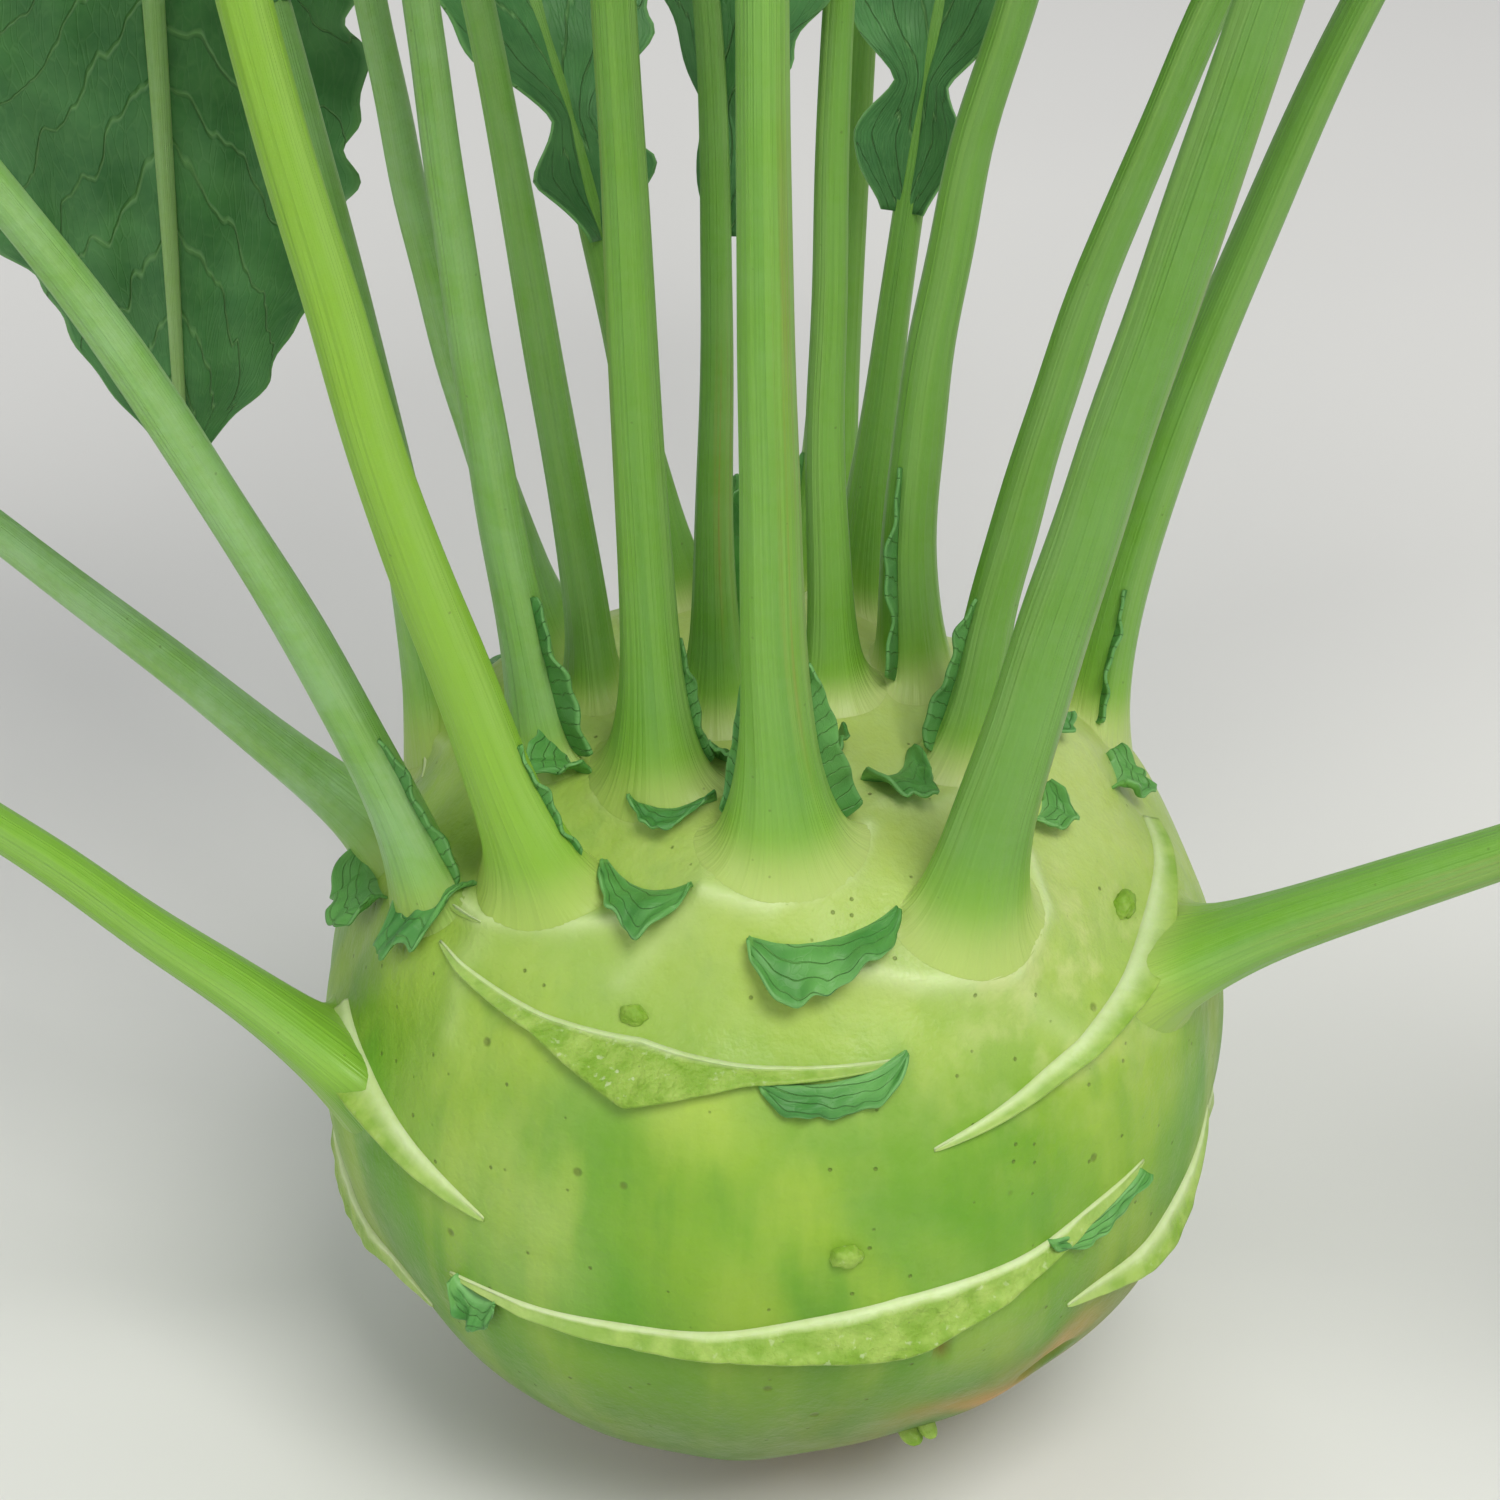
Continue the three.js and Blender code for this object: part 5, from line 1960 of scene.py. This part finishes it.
FOLDS = (
    Fold(((-101, 55), (-90, 53.5), (-76, 57), (-68, 63)), 3.6, 2.2, 0.75),
    Fold(((-80, 47), (-68, 43), (-54, 40.5), (-43, 46), (-38, 52)), 4.0, 2.4, 0.75),
    Fold(((-152, 45), (-136, 44), (-122, 48), (-110, 52)), 4.0, 2.2, 0.7),
    Fold(((-132, 64), (-120, 63.5), (-107, 66.5)), 3.2, 1.4, 0.4),
    Fold(((-62, 66), (-50, 63), (-38, 63), (-26, 58)), 3.6, 1.6, 0.45),
    Fold(((-100, 57), (-108, 48), (-112, 43)), 6.0, 1.4, 0.25),
    Fold(((-56, 44), (-52, 36), (-46, 28)), 6.0, 1.3, 0.25),
    Fold(((-133, 48), (-136, 38), (-134, 30)), 6.0, 1.2, 0.2),
    Fold(((60, 56), (78, 46), (98, 54)), 4.0, 1.8, 0.4),
    Fold(((140, 55), (160, 41), (176, 50)), 4.0, 1.8, 0.4),
)

WINGS = (
    Wing(11, 1, 3, 54, 9, 41),
    Wing(11, -1, 6, 48, 4, 42),
    Wing(18, -1, 4, 60, 9, 43),
    Wing(12, 1, 3, 46, 12, 44),
    Wing(12, -1, 3, 40, 8, 45),
    Wing(9, 1, 6, 44, 3, 46),
    Wing(4, -1, 3, 60, 10, 47),
    Wing(4, 1, 3, 50, 6, 48),
    Wing(13, -1, 3, 46, 7, 49),
    Wing(13, 1, 3, 40, 6, 50),
    Wing(6, -1, 3, 40, 7, 51),
    Wing(7, 1, 3, 44, 8, 52),
    Wing(7, -1, 3, 40, 6, 53),
    Wing(10, 1, 3, 44, 8, 54),
    Wing(5, -1, 3, 44, 8, 55),
    Wing(14, 1, 4, 40, 4, 56),
)


def leaf_seat(leaf: Leaf) -> Seat:
    """Returns the buttress under a leaf, as wide as its base."""
    return Seat(leaf.azimuth, leaf.latitude, leaf.base / 2.0 + 1.0, 0.2 * leaf.girth, 1.6 * leaf.girth)


def scar_seat(lip: Lip) -> Seat:
    """Returns the low buttress under a scar, a little over half as wide as the scar."""
    half = math.radians(lip.span) * 110.0 * math.cos(math.radians(lip.latitude)) * 0.55
    return Seat(lip.azimuth + lip.span * lip.sag_at, lip.latitude - 3.0, half, 0.45 * lip.reach, 26.0)


def leaf_rims(leaf: Leaf) -> tuple[Lip, Lip]:
    """Rims that run on from the corners of a leaf's base round the bulb.

    Args:
        leaf: The leaf.

    Returns:
        The rim on the left and the one on the right.
    """
    around = float(Bulb().profile(np.array(leaf.latitude))[0])
    half = leaf.base / 2.0 + 0.9 * leaf.girth
    span = math.degrees(half / around)
    shape = (leaf.azimuth, leaf.latitude - 0.5, span, 1.0, 0.0, 0.15 * leaf.girth, 0.07 * leaf.girth)
    inside = 0.7 * leaf.base / 2.0 / half
    return Lip(*shape, rough=0.05, start=-1.0, end=-inside), Lip(*shape, rough=0.05, start=inside, end=1.0)


def build_bulb(bulb: Bulb) -> None:
    """Builds everything that is part of the bulb.

    Args:
        bulb: The bulb with its seats.
    """
    bulb.build()
    scars = Surface()
    for lip in (*LIPS, *(rim for leaf in RIMMED for rim in leaf_rims(leaf))):
        lip.add_to(scars, bulb)
    for bud in BUDS:
        bud.add_to(scars, bulb)
    dress(scars.build("leaf_scars", SCAR), Slot.SKIN, "bulb")
    ears = Surface()
    for ear in EARS:
        ear.add_to(ears, bulb)
    dress(ears.build("leaf_ears", EAR, 0.8), Slot.BLADE, "bulb")


def build_leaves(bulb: Bulb) -> None:
    """Builds the leaves with the frills on their feet.

    Args:
        bulb: Bulb that they grow from.
    """
    for number, leaf in enumerate(LEAVES, start=1):
        STALKS.build(number, leaf, bulb)
        BLADES.build(number, leaf, bulb, STALKS)
    frills = Surface()
    for wing in WINGS:
        wing.add_to(frills, LEAVES[wing.leaf - 1], bulb)
    dress(frills.build("foot_frills", EAR, 0.8), Slot.BLADE, "bulb")
    Heart().build(bulb)


@dataclass(frozen=True)
class Lamp:
    """A square light that faces the plant. Sizes are metres.

    Attributes:
        name: Its name.
        place: Where it stands.
        size: Length of its side.
        power: Watts.
        colour: Its colour.
    """

    name: str
    place: tuple[float, float, float]
    size: float
    power: float
    colour: tuple[float, float, float]

    def build(self, target: tuple[float, float, float]) -> None:
        """Adds the light to the scene.

        Args:
            target: Place that it is turned towards.
        """
        lamp = bpy.data.lights.new(self.name, "AREA")
        lamp.size, lamp.energy, lamp.color = self.size, self.power, self.colour
        placed = bpy.data.objects.new(self.name, lamp)
        placed.location = self.place
        aim = np.array(target) - np.array(self.place)
        across = math.atan2(aim[1], aim[0])
        down = math.atan2(math.hypot(aim[0], aim[1]), -aim[2])
        placed.rotation_euler = (down, 0.0, across - math.pi / 2.0)
        bpy.context.scene.collection.objects.link(placed)


LAMPS = (
    Lamp("key", (0.6, -1.2, 2.1), 1.0, 37.5, (1.0, 0.98, 0.92)),
    Lamp("fill", (-1.5, -1.3, 1.1), 1.5, 6.0, (0.97, 0.99, 1.0)),
    Lamp("back", (-0.4, 1.7, 1.8), 1.6, 7.0, (1.0, 1.0, 1.0)),
)


@dataclass(frozen=True)
class Studio:
    """Floor, lights and the camera at the photograph's viewing angle. Sizes are metres.

    Attributes:
        camera_place: Where the camera stands.
        camera_turn: Its rotation about X, Y and Z in degrees.
        lens: Its focal length in millimetres.
        sensor: Width of its sensor in millimetres.
        target: Place that the lights face.
        floor_half: Half the floor's width.
        sky: Strength of the white sky.
    """

    camera_place: tuple[float, float, float] = (0.0, -0.6567, 0.5831)
    camera_turn: tuple[float, float, float] = (59.402, 0.0, 0.4125)
    lens: float = 72.0
    sensor: float = 36.0
    target: tuple[float, float, float] = (0.0, 0.0, 0.2)
    floor_half: float = 30.0
    sky: float = 0.44

    def build(self) -> None:
        """Builds the floor, the lights, the sky and the camera."""
        self.floor()
        for lamp in LAMPS:
            lamp.build(self.target)
        world = bpy.data.worlds.new("soft_sky")
        world.use_nodes = True
        background = world.node_tree.nodes["Background"]
        background.inputs["Color"].default_value = (1.0, 1.0, 1.0, 1.0)
        background.inputs["Strength"].default_value = self.sky
        bpy.context.scene.world = world
        bpy.context.scene.view_settings.view_transform = "Standard"
        camera = bpy.data.cameras.new("camera")
        camera.lens = self.lens
        camera.sensor_width = self.sensor
        placed = bpy.data.objects.new("camera", camera)
        placed.location = self.camera_place
        placed.rotation_euler = [math.radians(a) for a in self.camera_turn]
        bpy.context.scene.collection.objects.link(placed)
        bpy.context.scene.camera = placed

    def floor(self) -> None:
        """Builds the flat floor."""
        half = self.floor_half / METRES
        line = np.linspace(-half, half, 9)
        x, y = np.meshgrid(line, line)
        surface = Surface()
        surface.add_grid(np.stack([x, y, np.zeros_like(x)], axis=-1))
        surface.build("floor", FLOOR)


def main() -> None:
    """Builds the plant and its studio."""
    logging.basicConfig(level=logging.INFO, format="%(name)s %(message)s")
    leaf_seats = tuple(leaf_seat(leaf) for leaf in LEAVES)
    scar_seats = tuple(scar_seat(lip) for lip in LIPS)
    bulb = Bulb(leaf_seats=leaf_seats, scar_seats=scar_seats, notches=NOTCHES, folds=FOLDS)
    build_bulb(bulb)
    build_leaves(bulb)
    Studio().build()


if __name__ == "__main__":
    main()
